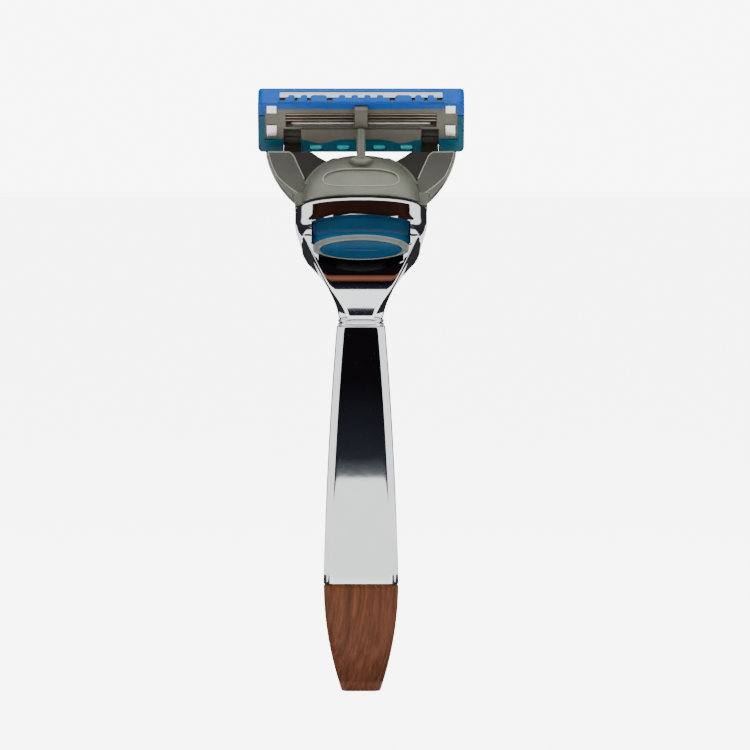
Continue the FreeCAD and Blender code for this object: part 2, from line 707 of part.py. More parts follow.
def cam_outline():
    """Side view of the cam bar: its outer edge follows the plunger tip over the whole swing."""
    offset = size("plunger_radius + cam_gap")
    places = [tip_in_housing(size("pivot_range") * share) for share in (0, 0.25, 0.5, 0.75, 1)]
    edge = []
    for index, place in enumerate(places):
        ahead = places[min(index + 1, len(places) - 1)]
        behind = places[max(index - 1, 0)]
        along = (ahead - behind).normalize()
        edge.append((place.y + offset * along.z, place.z - offset * along.y))
    root = size("pocket_floor")
    foot = edge[0][1] - 1.0
    crown = size("cartridge_half_height") - 0.75
    return [(root, foot)] + [(size(CORE_BACK), foot)] + edge + [(edge[-1][0], crown), (root, crown)]


def housing():
    """The frame that holds the blades, with its pivot bars, cam bar and clip slots."""
    half = size(CORE_HALF)
    back = size(CORE_BACK)
    front = size(CORE_FRONT)
    low = size(CORE_LOW)
    high = size(CORE_HIGH)
    pocket_floor = size("pocket_floor")
    pocket_high = size("pocket_high")
    frame = box(-half, half, back, front, low, high)
    wide = size("pocket_half")
    frame = frame.cut(box(-wide, wide, pocket_floor, front + 1, size("pocket_low"), pocket_high))
    view = size("view_half")
    frame = frame.cut(box(-view, view, back - 1, pocket_floor, 0, pocket_high))
    frame = frame.fuse(prism(cam_outline(), "X", -size("bar_half"), size("bar_half")))
    seat = size("strip_half") + 0.05
    frame = frame.cut(box(-seat, seat, size("strip_floor"), front + 1,
                          size("strip_low") - 0.05, size("strip_high") + 0.05))
    pivot = vector("0", "pivot_n", "pivot_u")
    margin = size("notch_margin")
    for side in SIDES.values():
        low_x, high_x = sorted((side * (size("finger_low_x") - margin),
                                side * (size("finger_high_x") + margin)))
        ring = Part.makeCylinder(size("notch_radius"), high_x - low_x, Vector(low_x, pivot.y, pivot.z),
                                 Vector(1, 0, 0))
        mouth = prism([(pivot.y - 1.9, pivot.z + 2.7), (pivot.y - 5.2, pivot.z + 5.5),
                       (pivot.y - 5.2, pivot.z - 3), (pivot.y, pivot.z - 3)], "X", low_x, high_x)
        bar = Part.makeCylinder(size("bar_radius"), high_x - low_x + 0.4,
                                Vector(low_x - 0.2, pivot.y, pivot.z), Vector(1, 0, 0))
        frame = frame.cut(ring.fuse(mouth))
        frame = frame.fuse(bar.common(box(low_x - 1, high_x + 1, back, front, low, high)))
        frame = frame.cut(clip_slots(side))
    return frame.removeSplitter()


def clip_slots(side):
    """The two slots that a clip's legs pass through."""
    fit = size("slot_fit")
    inner = size("clip_low_x") - fit
    outer = size("clip_low_x + clip_width") + fit
    low_x, high_x = sorted((side * inner, side * outer))
    thickness = size("clip_thickness")
    top = size("clip_high")
    bottom = size("clip_low")
    upper = box(low_x, high_x, -4, 4, top - thickness - fit, top + fit)
    lower = box(low_x, high_x, -4, 4, bottom - fit, bottom + thickness + fit)
    return upper.fuse(lower)


shaped("cartridge_housing", "cartridge", housing())


# ---------------------------------------------------------------- clips, strip and trimmer

for side_name, side in SIDES.items():
    clip = new_body(f"clip_{side_name}", "cartridge")
    centre = f"{side} * (clip_low_x + clip_width / 2)"
    inside = "-cartridge_half_depth + skin - 0.05"
    outside = "-cartridge_half_depth + skin - 0.05 - clip_thickness"
    front = "cartridge_half_depth"
    under = "cartridge_half_depth - clip_thickness"
    pad(clip, "band", "YZ_Plane", f"{centre} - clip_width / 2", f"{centre} + clip_width / 2",
        [(front, "clip_low"), (front, "clip_high"), (inside, "clip_high"), (inside, "tab_high"),
         (outside, "tab_high"), (outside, "clip_high - clip_thickness"),
         (under, "clip_high - clip_thickness"), (under, "clip_low + clip_thickness"),
         (inside, "clip_low + clip_thickness"), (inside, "tab_low"), (outside, "tab_low"),
         (outside, "clip_low")])

strip = new_body("lubricating_strip", "cartridge")
pad(strip, "bar", "YZ_Plane", "-strip_half", "strip_half",
    [("strip_floor", "strip_low"), ("cartridge_half_depth - 0.15", "strip_low"),
     ("cartridge_half_depth", "strip_low + 0.3"), ("cartridge_half_depth - 0.1", "strip_high"),
     ("strip_floor", "strip_high")])

trimmer_cap = new_body("trimmer_cap", "cartridge")
pad(trimmer_cap, "cover", "YZ_Plane", "-cartridge_half", "cartridge_half",
    [("-cartridge_half_depth", "cap_skirt"), (CORE_BACK, "cap_skirt"), (CORE_BACK, CORE_HIGH),
     (CORE_FRONT, CORE_HIGH), (CORE_FRONT, "tab_high + 0.1"), ("cartridge_half_depth", "tab_high + 0.1"),
     ("cartridge_half_depth", "cartridge_half_height - 0.35"),
     ("cartridge_half_depth - 0.35", "cartridge_half_height"),
     ("-cartridge_half_depth + 0.35", "cartridge_half_height"),
     ("-cartridge_half_depth", "cartridge_half_height - 0.35")])
for side_name, side in SIDES.items():
    middle = f"{side} * (cartridge_half - end_skin / 2)"
    pad(trimmer_cap, f"end_{side_name}", "YZ_Plane", f"{middle} - end_skin / 2", f"{middle} + end_skin / 2",
        rectangle("-cartridge_half_depth", "cartridge_half_depth", "cap_end_skirt",
                  "cartridge_half_height - 0.35"))
    tab = f"{side} * (clip_low_x + clip_width / 2)"
    pocket(trimmer_cap, f"tab_gap_{side_name}", "XZ_Plane", "-cartridge_half_depth", CORE_BACK,
           rectangle(f"{tab} - clip_width / 2 - slot_fit", f"{tab} + clip_width / 2 + slot_fit",
                     "cap_skirt - 1", "tab_high + 0.1"))
pocket(trimmer_cap, "cam_gap", "XZ_Plane", "-cartridge_half_depth", CORE_BACK,
       rectangle("-bar_half - 0.15", "bar_half + 0.15", "cap_skirt - 1", "cartridge_half_height - 0.6"))
pocket(trimmer_cap, "comb_slot", "XY_Plane", CORE_HIGH, "cartridge_half_height",
       rectangle("-comb_half", "comb_half", "comb_low", "comb_high"))
teeth = [("middle", "0", "tooth_width")]
for side_name, side in SIDES.items():
    teeth += [(f"{side_name}_inner", f"{side} * tooth_pitch", "tooth_width"),
              (f"{side_name}_second", f"{side} * 2 * tooth_pitch", "tooth_width"),
              (f"{side_name}_wide", f"{side} * wide_tooth_x", "wide_tooth_width"),
              (f"{side_name}_fourth", f"{side} * (wide_tooth_x + 3.6)", "tooth_width"),
              (f"{side_name}_outer", f"{side} * (wide_tooth_x + 3.6 + tooth_pitch)", "tooth_width")]
for tooth, place, width in teeth:
    pad(trimmer_cap, f"tooth_{tooth}", "XY_Plane", CORE_HIGH, "cartridge_half_height - 0.1",
        rectangle(f"{place} - {width} / 2", f"{place} + {width} / 2", "comb_low - 0.1", "comb_high + 0.05"))
pocket(trimmer_cap, "blade_seat", "XY_Plane", "cartridge_half_height - trimmer_thickness - 0.05",
       "cartridge_half_height + 0.1",
       rectangle("-comb_half", "comb_half", "trimmer_low - 0.05", "trimmer_high + 0.05"))

trimmer = new_body("trimmer_blade", "cartridge")
pad(trimmer, "strip", "XY_Plane", "cartridge_half_height - trimmer_thickness - 0.05",
    "cartridge_half_height - 0.05",
    rectangle("-comb_half + 0.05", "comb_half - 0.05", "trimmer_low", "trimmer_high"))


# ---------------------------------------------------------------- guard

guard = new_body("guard", "cartridge")
pad(guard, "wrap", "YZ_Plane", "-cartridge_half", "cartridge_half",
    [("-cartridge_half_depth", "-cartridge_half_height + 0.5"),
     ("-cartridge_half_depth + 0.5", "-cartridge_half_height"),
     ("cartridge_half_depth - 0.5", "-cartridge_half_height"),
     ("cartridge_half_depth", "-cartridge_half_height + 0.5"),
     ("cartridge_half_depth", "guard_front"), (CORE_FRONT, "guard_front"),
     (CORE_FRONT, CORE_LOW), (CORE_BACK, CORE_LOW), (CORE_BACK, "guard_skirt"),
     ("-cartridge_half_depth", "guard_skirt")])
for side_name, side in SIDES.items():
    middle = f"{side} * (cartridge_half - end_skin / 2)"
    pad(guard, f"end_{side_name}", "YZ_Plane", f"{middle} - end_skin / 2", f"{middle} + end_skin / 2",
        rectangle("-cartridge_half_depth", "cartridge_half_depth", "-cartridge_half_height + 0.5",
                  "guard_end"))
    centre = f"{side} * (finger_low_x + finger_high_x) / 2"
    reach = "((finger_high_x - finger_low_x) / 2 + notch_margin)"
    pocket(guard, f"finger_gap_{side_name}", "XZ_Plane", "-cartridge_half_depth", "0.9",
           rectangle(f"{centre} - {reach}", f"{centre} + {reach}", "-cartridge_half_height - 0.1",
                     "guard_skirt + 0.1"))
    for port in ("port_inner", "port_outer"):
        place = f"{side} * ({port} + port_width / 2)"
        pocket(guard, f"{port}_{side_name}", "XZ_Plane", "-cartridge_half_depth", CORE_BACK,
               rectangle(f"{place} - port_width / 2", f"{place} + port_width / 2", "port_low",
                         "port_high"))
for index in range(FINS):
    level = f"guard_front - 0.35 - {index} * fin_pitch"
    pocket(guard, f"fin_gap_{index + 1}", "XZ_Plane", "cartridge_half_depth - fin_depth",
           "cartridge_half_depth", rectangle("-strip_half", "strip_half", f"{level} - fin_gap", level))


# ---------------------------------------------------------------- blades

for number in range(1, BLADES + 1):
    level = f"first_blade - {number - 1} * blade_pitch"
    lean_y = "cos(blade_lean)"
    lean_z = "sin(blade_lean)"
    support = new_body(f"blade_support_{number}", "cartridge")
    pad(support, "bent_strip", "YZ_Plane", "-blade_half", "blade_half",
        [("support_foot", level), ("support_knee", level),
         (f"support_knee + ledge_width * {lean_y}", f"{level} - ledge_width * {lean_z}"),
         (f"support_knee + ledge_width * {lean_y} + support_thickness * {lean_z}",
          f"{level} - ledge_width * {lean_z} + support_thickness * {lean_y}"),
         ("support_knee + support_thickness * 0.27", f"{level} + support_thickness"),
         ("support_foot", f"{level} + support_thickness")])
    blade = new_body(f"blade_{number}", "cartridge")
    near = "(support_thickness + 0.01)"
    far = "(support_thickness + 0.01 + blade_thickness)"
    start_y = "support_knee + 0.1"
    end_y = f"support_knee + blade_width * {lean_y}"
    end_z = f"{level} - blade_width * {lean_z}"
    pad(blade, "strip", "YZ_Plane", "-blade_half", "blade_half",
        [(f"{start_y} + {near} * {lean_z}", f"{level} - 0.1 * tan(blade_lean) + {near} * {lean_y}"),
         (f"{end_y} + {near} * {lean_z}", f"{end_z} + {near} * {lean_y}"),
         (f"{end_y} - 0.15 * {lean_y} + {far} * {lean_z}",
          f"{end_z} + 0.15 * {lean_z} + {far} * {lean_y}"),
         (f"{start_y} + {far} * {lean_z}", f"{level} - 0.1 * tan(blade_lean) + {far} * {lean_y}")])


# ---------------------------------------------------------------- checks and files

document.recompute()
for item in document.Objects:
    if "Invalid" in item.State or "Error" in item.State:
        raise RuntimeError(f"{item.Label} failed: {item.State}")
os.makedirs("parts", exist_ok=True)
for piece in pieces:
    if piece.Shape.isNull() or not piece.Shape.isValid():
        raise RuntimeError(f"{piece.Label} has no valid shape")
    piece.Shape.exportStep(f"parts/{piece.Label}.step")
    print(f"{piece.Label}: {len(piece.Shape.Solids)} solid, {piece.Shape.Volume:.1f} mm3")
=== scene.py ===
"""Cartridge razor with a chrome handle, a wooden end cap and a pivoting blade cartridge.

Each sub-assembly is a class. Its sizes are dataclass fields in millimetres, drawn in the frame that
its maker would use: the handle's own frame, the dock frame whose Z runs out of the head's mouth, or
the cartridge frame whose Y runs out of the shaving face. A piece is carried into metres when done.
"""

from __future__ import annotations

import json
import logging
import math
from dataclasses import dataclass
from enum import Enum
from typing import Iterable

import bmesh
import bpy
from mathutils import Matrix, Vector


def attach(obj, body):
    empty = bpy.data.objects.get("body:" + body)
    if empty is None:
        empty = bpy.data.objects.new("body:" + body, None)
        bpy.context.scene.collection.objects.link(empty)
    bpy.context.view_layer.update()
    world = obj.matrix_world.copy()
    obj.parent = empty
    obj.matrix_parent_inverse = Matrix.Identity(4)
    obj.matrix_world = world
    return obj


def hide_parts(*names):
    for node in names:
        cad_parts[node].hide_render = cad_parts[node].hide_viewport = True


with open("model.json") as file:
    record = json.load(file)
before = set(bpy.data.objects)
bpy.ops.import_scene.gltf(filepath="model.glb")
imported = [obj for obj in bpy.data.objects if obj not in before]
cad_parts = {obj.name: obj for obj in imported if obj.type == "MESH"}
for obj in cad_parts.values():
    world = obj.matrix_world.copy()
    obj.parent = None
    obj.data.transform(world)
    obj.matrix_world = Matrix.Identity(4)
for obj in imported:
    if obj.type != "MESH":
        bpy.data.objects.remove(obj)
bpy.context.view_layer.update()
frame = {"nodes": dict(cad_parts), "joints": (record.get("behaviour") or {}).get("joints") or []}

log = logging.getLogger("razor")
MM = 0.001
Piece = bpy.types.Object
Tree = bpy.types.NodeTree
Socket = bpy.types.NodeSocket
Pair = tuple[float, float]
Point = tuple[float, float, float]
Outline = list[Pair]
# The middle of the head's mouth, in millimetres in the row frame.
MOUTH = (0, 5.75, 96.3)
# Where the pivot lies in the cartridge frame: this far out, and this far below its middle.
PIVOT_OUT, PIVOT_LOW = 1.8, 5.0


# ---------------------------------------------------------------- frames


def joint(name: str) -> dict:
    """The frame's joint of that name."""
    return next(entry for entry in frame["joints"] if entry["name"] == name)


def turned_frame(origin: Vector, tilt: float) -> Matrix:
    """A matrix from millimetres in a frame tilted about X to metres in the row frame.

    Args:
        origin: the frame's origin in millimetres.
        tilt: the turn about X in radians.

    Returns:
        The matrix.
    """
    return Matrix.Scale(MM, 4) @ Matrix.Translation(origin) @ Matrix.Rotation(tilt, 4, "X")


def dock_matrix() -> Matrix:
    """The dock frame, tilted as the release slide is, through the middle of the head's mouth."""
    along = joint("cartridge_release")["axis"]
    return turned_frame(Vector(MOUTH), -math.atan2(along[1], along[2]))


def cartridge_matrix() -> Matrix:
    """The cartridge frame, found from the pivot and from the way that the blades float.

    Returns:
        The matrix from the cartridge frame to the part's own, in millimetres.
    """
    out = Vector(joint("spring_blade_1")["axis"])
    up = Vector((0, -out.z, out.y))
    pivot = Vector(joint("cartridge_pivot")["pos_m"]) / MM
    return turned_frame(pivot - out * PIVOT_OUT + up * PIVOT_LOW, math.atan2(out.z, out.y))


class Frame(Enum):
    """The three frames that pieces are drawn in."""

    HANDLE = "handle"
    DOCK = "dock"
    CARTRIDGE = "cartridge"

    @property
    def matrix(self) -> Matrix:
        """The matrix into the row frame, in metres."""
        if self is Frame.HANDLE:
            return Matrix.Scale(MM, 4)
        return dock_matrix() if self is Frame.DOCK else cartridge_matrix()


# ---------------------------------------------------------------- modelling


def select_only(piece: Piece) -> None:
    """Make one object the only selected and active one.

    Args:
        piece: the object to select.
    """
    bpy.ops.object.select_all(action="DESELECT")
    piece.select_set(True)
    bpy.context.view_layer.objects.active = piece


def put_ring(piece: Piece, ring: list[Point], order: dict) -> dict:
    """Move the selected end face's corners onto a ring.

    Args:
        piece: the object in edit mode, with one end face selected.
        ring: the ring's points.
        order: which ring point each corner's present place stands for.

    Returns:
        The same for the new places.
    """
    shape = bmesh.from_edit_mesh(piece.data)
    corners = [corner for corner in shape.verts if corner.select]
    places = {}
    for corner in corners:
        index = order[tuple(round(value, 6) for value in corner.co)]
        corner.co = ring[index]
        places[tuple(round(value, 6) for value in corner.co)] = index
    bmesh.update_edit_mesh(piece.data)
    return places


def loft(name: str, rings: list[list[Point]]) -> Piece:
    """A closed skin through rings of equal counts, made by extruding a filled circle along them.

    Args:
        name: the piece's name.
        rings: lists of points, first end to last.

    Returns:
        The object, in millimetres.
    """
    count = len(rings[0])
    bpy.ops.object.select_all(action="DESELECT")
    bpy.ops.mesh.primitive_circle_add(vertices=count, radius=1, fill_type="NGON")
    piece = bpy.context.object
    piece.name = name
    piece.data.name = name
    order = {tuple(round(value, 6) for value in corner.co): corner.index for corner in piece.data.vertices}
    bpy.ops.object.mode_set(mode="EDIT")
    bpy.ops.mesh.select_mode(type="FACE")
    bpy.ops.mesh.select_all(action="SELECT")
    order = put_ring(piece, rings[0], order)
    for ring in rings[1:]:
        bpy.ops.mesh.extrude_region_move()
        order = put_ring(piece, ring, order)
    bpy.ops.mesh.select_all(action="SELECT")
    bpy.ops.mesh.normals_make_consistent(inside=False)
    bpy.ops.object.mode_set(mode="OBJECT")
    return piece


def slab(name: str, outline: Outline, low: float, high: float, axis: str = "Y") -> Piece:
    """A slab of an outline, extruded along one axis.

    Args:
        name: the piece's name.
        outline: points across the axis, in alphabetical order of the other two.
        low: where the slab starts on the axis.
        high: where it ends.
        axis: X, Y or Z.

    Returns:
        The object, in millimetres.
    """
    place = {
        "X": lambda a, b, level: (level, a, b),
        "Y": lambda a, b, level: (a, level, b),
        "Z": lambda a, b, level: (a, b, level),
    }[axis]
    return loft(name, [[place(a, b, level) for a, b in outline] for level in (low, high)])


def modify(piece: Piece, kind: str, **settings: object) -> None:
    """Add a modifier with its settings and apply it.

    Args:
        piece: the piece to change.
        kind: the modifier's type.
        settings: the modifier's own properties.
    """
    select_only(piece)
    modifier = piece.modifiers.new(kind.title(), kind)
    for key, value in settings.items():
        setattr(modifier, key, value)
    bpy.ops.object.modifier_apply(modifier=modifier.name)


def round_edges(piece: Piece, width: float, steps: int = 2, angle: float = 30) -> None:
    """Bevel the edges that turn by more than an angle, in degrees."""
    modify(piece, "BEVEL", width=width, segments=steps, limit_method="ANGLE",
           angle_limit=math.radians(angle), use_clamp_overlap=True)


def cut(piece: Piece, tool: Piece) -> None:
    """Cut a tool's shape out of a piece and remove the tool."""
    modify(piece, "BOOLEAN", operation="DIFFERENCE", solver="EXACT", object=tool)
    bpy.data.objects.remove(tool)


def smooth(piece: Piece, angle: float = 30) -> None:
    """Shade smooth across edges that turn by less than an angle, in degrees, keeping flats flat.

    Args:
        piece: the piece to shade.
        angle: the largest turn that still shades smooth, in degrees.
    """
    select_only(piece)
    bpy.ops.object.shade_smooth_by_angle(angle=math.radians(angle))
    modify(piece, "WEIGHTED_NORMAL", keep_sharp=True)


def join(name: str, parts: list[Piece]) -> Piece:
    """Join several closed shells into one piece.

    Args:
        name: the joined piece's name.
        parts: the shells, the first of which takes in the others.

    Returns:
        The joined piece.
    """
    select_only(parts[0])
    for part in parts[1:]:
        part.select_set(True)
    bpy.ops.object.join()
    parts[0].name = name
    parts[0].data.name = name
    return parts[0]


def softened(node: str, width: float, steps: int = 2) -> Piece:
    """A copy of a CAD node with its loose triangles merged, its flats joined and its edges rounded.

    Args:
        node: the CAD node.
        width: the rounding in millimetres.
        steps: the segments of each rounding.

    Returns:
        The object, in metres, in the row frame.
    """
    piece = bpy.data.objects.new(node + "_dressed", frame["nodes"][node].data.copy())
    bpy.context.scene.collection.objects.link(piece)
    piece.data.materials.clear()
    piece.data.transform(Matrix.Scale(1 / MM, 4))
    select_only(piece)
    bpy.ops.object.mode_set(mode="EDIT")
    bpy.ops.mesh.select_all(action="SELECT")
    bpy.ops.mesh.remove_doubles(threshold=0.002)
    bpy.ops.mesh.dissolve_limited(angle_limit=math.radians(1.5))
    bpy.ops.object.mode_set(mode="OBJECT")
    if width:
        round_edges(piece, width, steps)
    piece.data.transform(Matrix.Scale(MM, 4))
    return piece


def spaced(low: float, high: float, steps: int) -> list[float]:
    """Evenly spaced values from low to high, both included."""
    return [low + (high - low) * step / steps for step in range(steps + 1)]


def turned(name: str, profile: list[Pair], axis_y: float, count: int) -> Piece:
    """A turned piece round an upright axis.

    Args:
        name: the piece's name.
        profile: pairs of radius and height, first end to last.
        axis_y: where the axis stands in Y.
        count: the points of each circle.

    Returns:
        The object, in millimetres.
    """
    circle = superellipse(1, 1, 2, count)
    return loft(name, [[(r * x, axis_y + r * y, z) for x, y in circle] for r, z in profile])


def superellipse(half_x: float, half_y: float, power: float, count: int) -> Outline:
    """Points round a section that is an ellipse at power 2 and squarer above it.

    Args:
        half_x: half the width.
        half_y: half the depth.
        power: how square the section is.
        count: the number of points.

    Returns:
        The outline, from +X towards +Y.
    """
    points = []
    for step in range(count):
        turn = 2 * math.pi * step / count
        across, through = math.cos(turn), math.sin(turn)
        points.append((half_x * math.copysign(abs(across) ** (2 / power), across),
                       half_y * math.copysign(abs(through) ** (2 / power), through)))
    return points


def step_up(value: float, low: float, high: float) -> float:
    """A smooth step from 0 at low to 1 at high."""
    share = min(1.0, max(0.0, (value - low) / (high - low)))
    return share * share * (3 - 2 * share)


def faceted(half_x: float, half_y: float, face: float, drop: float, roundness: float = 0.0,
            power: float = 2.0, corner: float = 0.3) -> Outline:
    """An eight-sided section with small round corners, eased towards a superellipse.

    Args:
        half_x: half the width.
        half_y: half the depth.
        face: half the width of the flat front and back.
        drop: how far the corner bevels fall in depth.
        roundness: 0 for flat facets, 1 for the superellipse.
        power: the superellipse's power.
        corner: how far each corner's rounding reaches along its sides.

    Returns:
        The outline.
    """
    quarter = [Vector((half_x, half_y - drop)), Vector((face, half_y))]
    corners = quarter + [Vector((-at.x, at.y)) for at in reversed(quarter)]
    corners += [-at for at in corners]
    outline = []
    for index, middle in enumerate(corners):
        before, after = corners[index - 1] - middle, corners[(index + 1) % len(corners)] - middle
        reach = min(corner, before.length * 0.35, after.length * 0.35)
        start, end = middle + before.normalized() * reach, middle + after.normalized() * reach
        for step in range(5):
            share = step / 4
            outline.append(start.lerp(middle, share).lerp(middle.lerp(end, share), share))
        onward = corners[(index + 1) % len(corners)] - after.normalized() * reach
        outline += [end.lerp(onward, share) for share in (0.05, 0.2, 0.4, 0.6, 0.8, 0.95)]
    eased = []
    for at in outline:
        extent = abs(at.x / half_x) ** power + abs(at.y / half_y) ** power
        ease = 1 + (extent ** (-1 / power) - 1) * roundness
        eased.append((at.x * ease, at.y * ease))
    return eased


# ---------------------------------------------------------------- finishes


def linear(colour: str) -> tuple[float, float, float, float]:
    """An sRGB hex colour as linear values."""
    values = [int(colour[index:index + 2], 16) / 255 for index in (1, 3, 5)]
    return tuple(v / 12.92 if v <= 0.04045 else ((v + 0.055) / 1.055) ** 2.4 for v in values) + (1.0,)


def node(tree: Tree, kind: str, settings: dict | None = None,
         links: dict | None = None) -> bpy.types.Node:
    """Add a shader node.

    Args:
        tree: the material's tree.
        kind: the node's type without its prefix, such as TexNoise.
        settings: attributes by name, or input values by input name.
        links: input name to the output socket that feeds it.

    Returns:
        The node.
    """
    made = tree.nodes.new("ShaderNode" + kind)
    for key, value in (settings or {}).items():
        if isinstance(key, str) and hasattr(made, key):
            setattr(made, key, value)
        else:
            made.inputs[key].default_value = value
    for key, source in (links or {}).items():
        tree.links.new(source, made.inputs[key])
    return made


def ramp(tree: Tree, source: Socket,
         stops: Iterable[tuple[float, str]]) -> Socket:
    """A colour ramp of hex colours over a value.

    Args:
        tree: the material's node tree.
        source: the value that picks the colour.
        stops: each colour's place, from 0 to 1, and its hex value.

    Returns:
        The colour.
    """
    made = node(tree, "ValToRGB", links={"Fac": source})
    elements = made.color_ramp.elements
    for index, (place, colour) in enumerate(stops):
        element = elements[index] if index < 2 else elements.new(place)
        element.position = place
        element.color = linear(colour)
    return made.outputs["Color"]


def blank_material(name: str) -> tuple[bpy.types.Material, Tree, bpy.types.Node]:
    """A new material, its node tree and its surface node.

    Args:
        name: the material's name.

    Returns:
        The material, its node tree and its surface node.
    """
    made = bpy.data.materials.new(name)
    made.use_nodes = True
    return made, made.node_tree, made.node_tree.nodes["Principled BSDF"]


def feed(tree: Tree, surface: bpy.types.Node, colour: Socket, gloss: bpy.types.Node,
         relief: bpy.types.Node | None = None) -> None:
    """Link a colour, a gloss and, where there is one, a relief to the surface.

    Args:
        tree: the material's node tree.
        surface: its surface node.
        colour: the base colour.
        gloss: the node that gives the roughness.
        relief: the bump node.
    """
    tree.links.new(colour, surface.inputs["Base Color"])
    tree.links.new(gloss.outputs["Result"], surface.inputs["Roughness"])
    if relief:
        tree.links.new(relief.outputs["Normal"], surface.inputs["Normal"])


@dataclass(frozen=True)
class Finish:
    """A surface finish: a Principled surface with fine variation in gloss and height.

    grain_mm is the size of the moulding or polishing texture; sheen is the share of mirrored light.
    """

    name: str
    colour: str
    shade: str
    metallic: float = 0.0
    roughness: float = 0.4
    roughness_spread: float = 0.08
    ior: float = 1.5
    sheen: float = 0.5
    transmission: float = 0.0
    subsurface: float = 0.0
    grain_mm: float = 0.3
    height_mm: float = 0.004

    def material(self) -> bpy.types.Material:
        """The material, made once.

        Returns:
            The material, with its nodes linked.
        """
        found = bpy.data.materials.get(self.name)
        if found:
            return found
        made, tree, surface = blank_material(self.name)
        for socket, value in (("Metallic", self.metallic), ("IOR", self.ior),
                              ("Specular IOR Level", self.sheen), ("Transmission Weight", self.transmission),
                              ("Subsurface Weight", self.subsurface), ("Subsurface Scale", 1.5 * MM)):
            surface.inputs[socket].default_value = value
        self.dress(tree, surface)
        return made

    def dress(self, tree: Tree, surface: bpy.types.Node) -> None:
        """Link the colour, gloss and height of the surface.

        Args:
            tree: the material's node tree.
            surface: its surface node.
        """
        place = node(tree, "TexCoord").outputs["Object"]
        fine = node(tree, "TexNoise", {"Scale": 1 / (self.grain_mm * MM), "Detail": 3.0},
                    {"Vector": place}).outputs["Fac"]
        broad = node(tree, "TexNoise", {"Scale": 1 / (6 * MM), "Detail": 2.0},
                     {"Vector": place}).outputs["Fac"]
        colour = ramp(tree, broad, ((0.3, self.shade), (0.7, self.colour)))
        gloss = node(tree, "MapRange",
                     {"To Min": max(0.0, self.roughness - self.roughness_spread / 2),
                      "To Max": self.roughness + self.roughness_spread / 2}, {"Value": fine})
        relief = node(tree, "Bump", {"Distance": self.height_mm * MM, "Strength": 0.5},
                      {"Height": fine})
        feed(tree, surface, colour, gloss, relief)


@dataclass(frozen=True)
class Hardwood(Finish):
    """Oiled rosewood-coloured hardwood, turned and sanded.

    The eye gets fine dark pores and paler lines that run down the cap and sweep to one side.
    """

    line_mm: float = 0.34

    def dress(self, tree: Tree, surface: bpy.types.Node) -> None:
        """Link the grain: long streaks that follow the growth rings' sweep.

        Args:
            tree: the material's node tree.
            surface: its surface node.
        """
        place = node(tree, "TexCoord").outputs["Object"]
        parts = node(tree, "SeparateXYZ", links={"Vector": place}).outputs
        drop = node(tree, "Math", {"operation": "SUBTRACT", 0: 0.0216}, {1: parts["Z"]})
        sweep = node(tree, "Math", {"operation": "POWER", 1: 1.7}, {0: drop.outputs[0]})
        lean = node(tree, "Math", {"operation": "MULTIPLY", 1: 2.6}, {0: sweep.outputs[0]})
        across = node(tree, "Math", {"operation": "ADD"}, {0: parts["X"], 1: lean.outputs[0]})
        squeezed = node(tree, "Math", {"operation": "MULTIPLY", 1: 0.06}, {0: parts["Z"]})
        grain = node(tree, "CombineXYZ",
                     links={"X": across.outputs[0], "Y": parts["Y"], "Z": squeezed.outputs[0]})
        lines = node(tree, "TexNoise",
                     {"Scale": 1 / (self.line_mm * 2 * MM), "Detail": 4.0, "Roughness": 0.6},
                     {"Vector": grain.outputs["Vector"]}).outputs["Fac"]
        bands = node(tree, "TexNoise", {"Scale": 1 / (3.2 * MM), "Detail": 2.0},
                     {"Vector": grain.outputs["Vector"]}).outputs["Fac"]
        mixed = node(tree, "Mix", {"data_type": "FLOAT", "Factor": 0.18}, {2: lines, 3: bands})
        colour = ramp(tree, mixed.outputs[0], ((0.3, "#56301d"), (0.44, "#683c25"), (0.56, self.shade),
                                               (0.72, self.colour)))
        gloss = node(tree, "MapRange", {"To Min": 0.52, "To Max": 0.36}, {"Value": lines})
        relief = node(tree, "Bump", {"Distance": 0.03 * MM, "Strength": 0.6}, {"Height": lines})
        feed(tree, surface, colour, gloss, relief)


@dataclass(frozen=True)
class GroundSteel(Finish):
    """Steel strip, ground along its length: fine streaks that run with the edge."""

    def dress(self, tree: Tree, surface: bpy.types.Node) -> None:
        """Link streaks that are long in X and fine across it.

        Args:
            tree: the material's node tree.
            surface: its surface node.
        """
        place = node(tree, "TexCoord").outputs["Object"]
        long_way = node(tree, "Mapping", {"Scale": (0.02, 1.0, 1.0)}, {"Vector": place})
        streaks = node(tree, "TexNoise", {"Scale": 1 / (0.15 * MM), "Detail": 3.0},
                       {"Vector": long_way.outputs["Vector"]}).outputs["Fac"]
        colour = ramp(tree, streaks, ((0.3, self.shade), (0.7, self.colour)))
        gloss = node(tree, "MapRange", {"To Min": self.roughness, "To Max": self.roughness + 0.12},
                     {"Value": streaks})
        feed(tree, surface, colour, gloss)


# Bright chrome plate over a polished zinc casting: near-mirror, with a faint polisher's haze.
CHROME = Finish("chrome_plate", "#eef0f2", "#e6e8eb", metallic=1.0, roughness=0.035,
                roughness_spread=0.03, grain_mm=1.2, height_mm=0.0006)
ROSEWOOD = Hardwood("oiled_rosewood", "#92583a", "#7c482e", roughness=0.5, sheen=0.2)
# Injection-moulded ABS with a metal-flake pigment: a soft sheen that rolls across the yoke's dome.
FLAKE_GREY = Finish("flake_grey_abs", "#84867a", "#77796c", metallic=0.35, sheen=0.4, roughness=0.34,
                    grain_mm=0.12, height_mm=0.003)
# Raised moulding lines painted pale: a painted highlight along the edges of the yoke's recess and arms.
EDGE_HIGHLIGHT_GREY = Finish("flake_grey_abs_painted_highlight", "#c9c7b8", "#bbb9aa", metallic=0.3, roughness=0.3,
                   grain_mm=0.12, height_mm=0.002)
# The same ABS from an etched part of the mould: the sunk panels look darker and flat.
PANEL_GREY = Finish("flake_grey_abs_matt", "#6a6861", "#605e58", metallic=0.35, roughness=0.45,
                    grain_mm=0.12, height_mm=0.003)
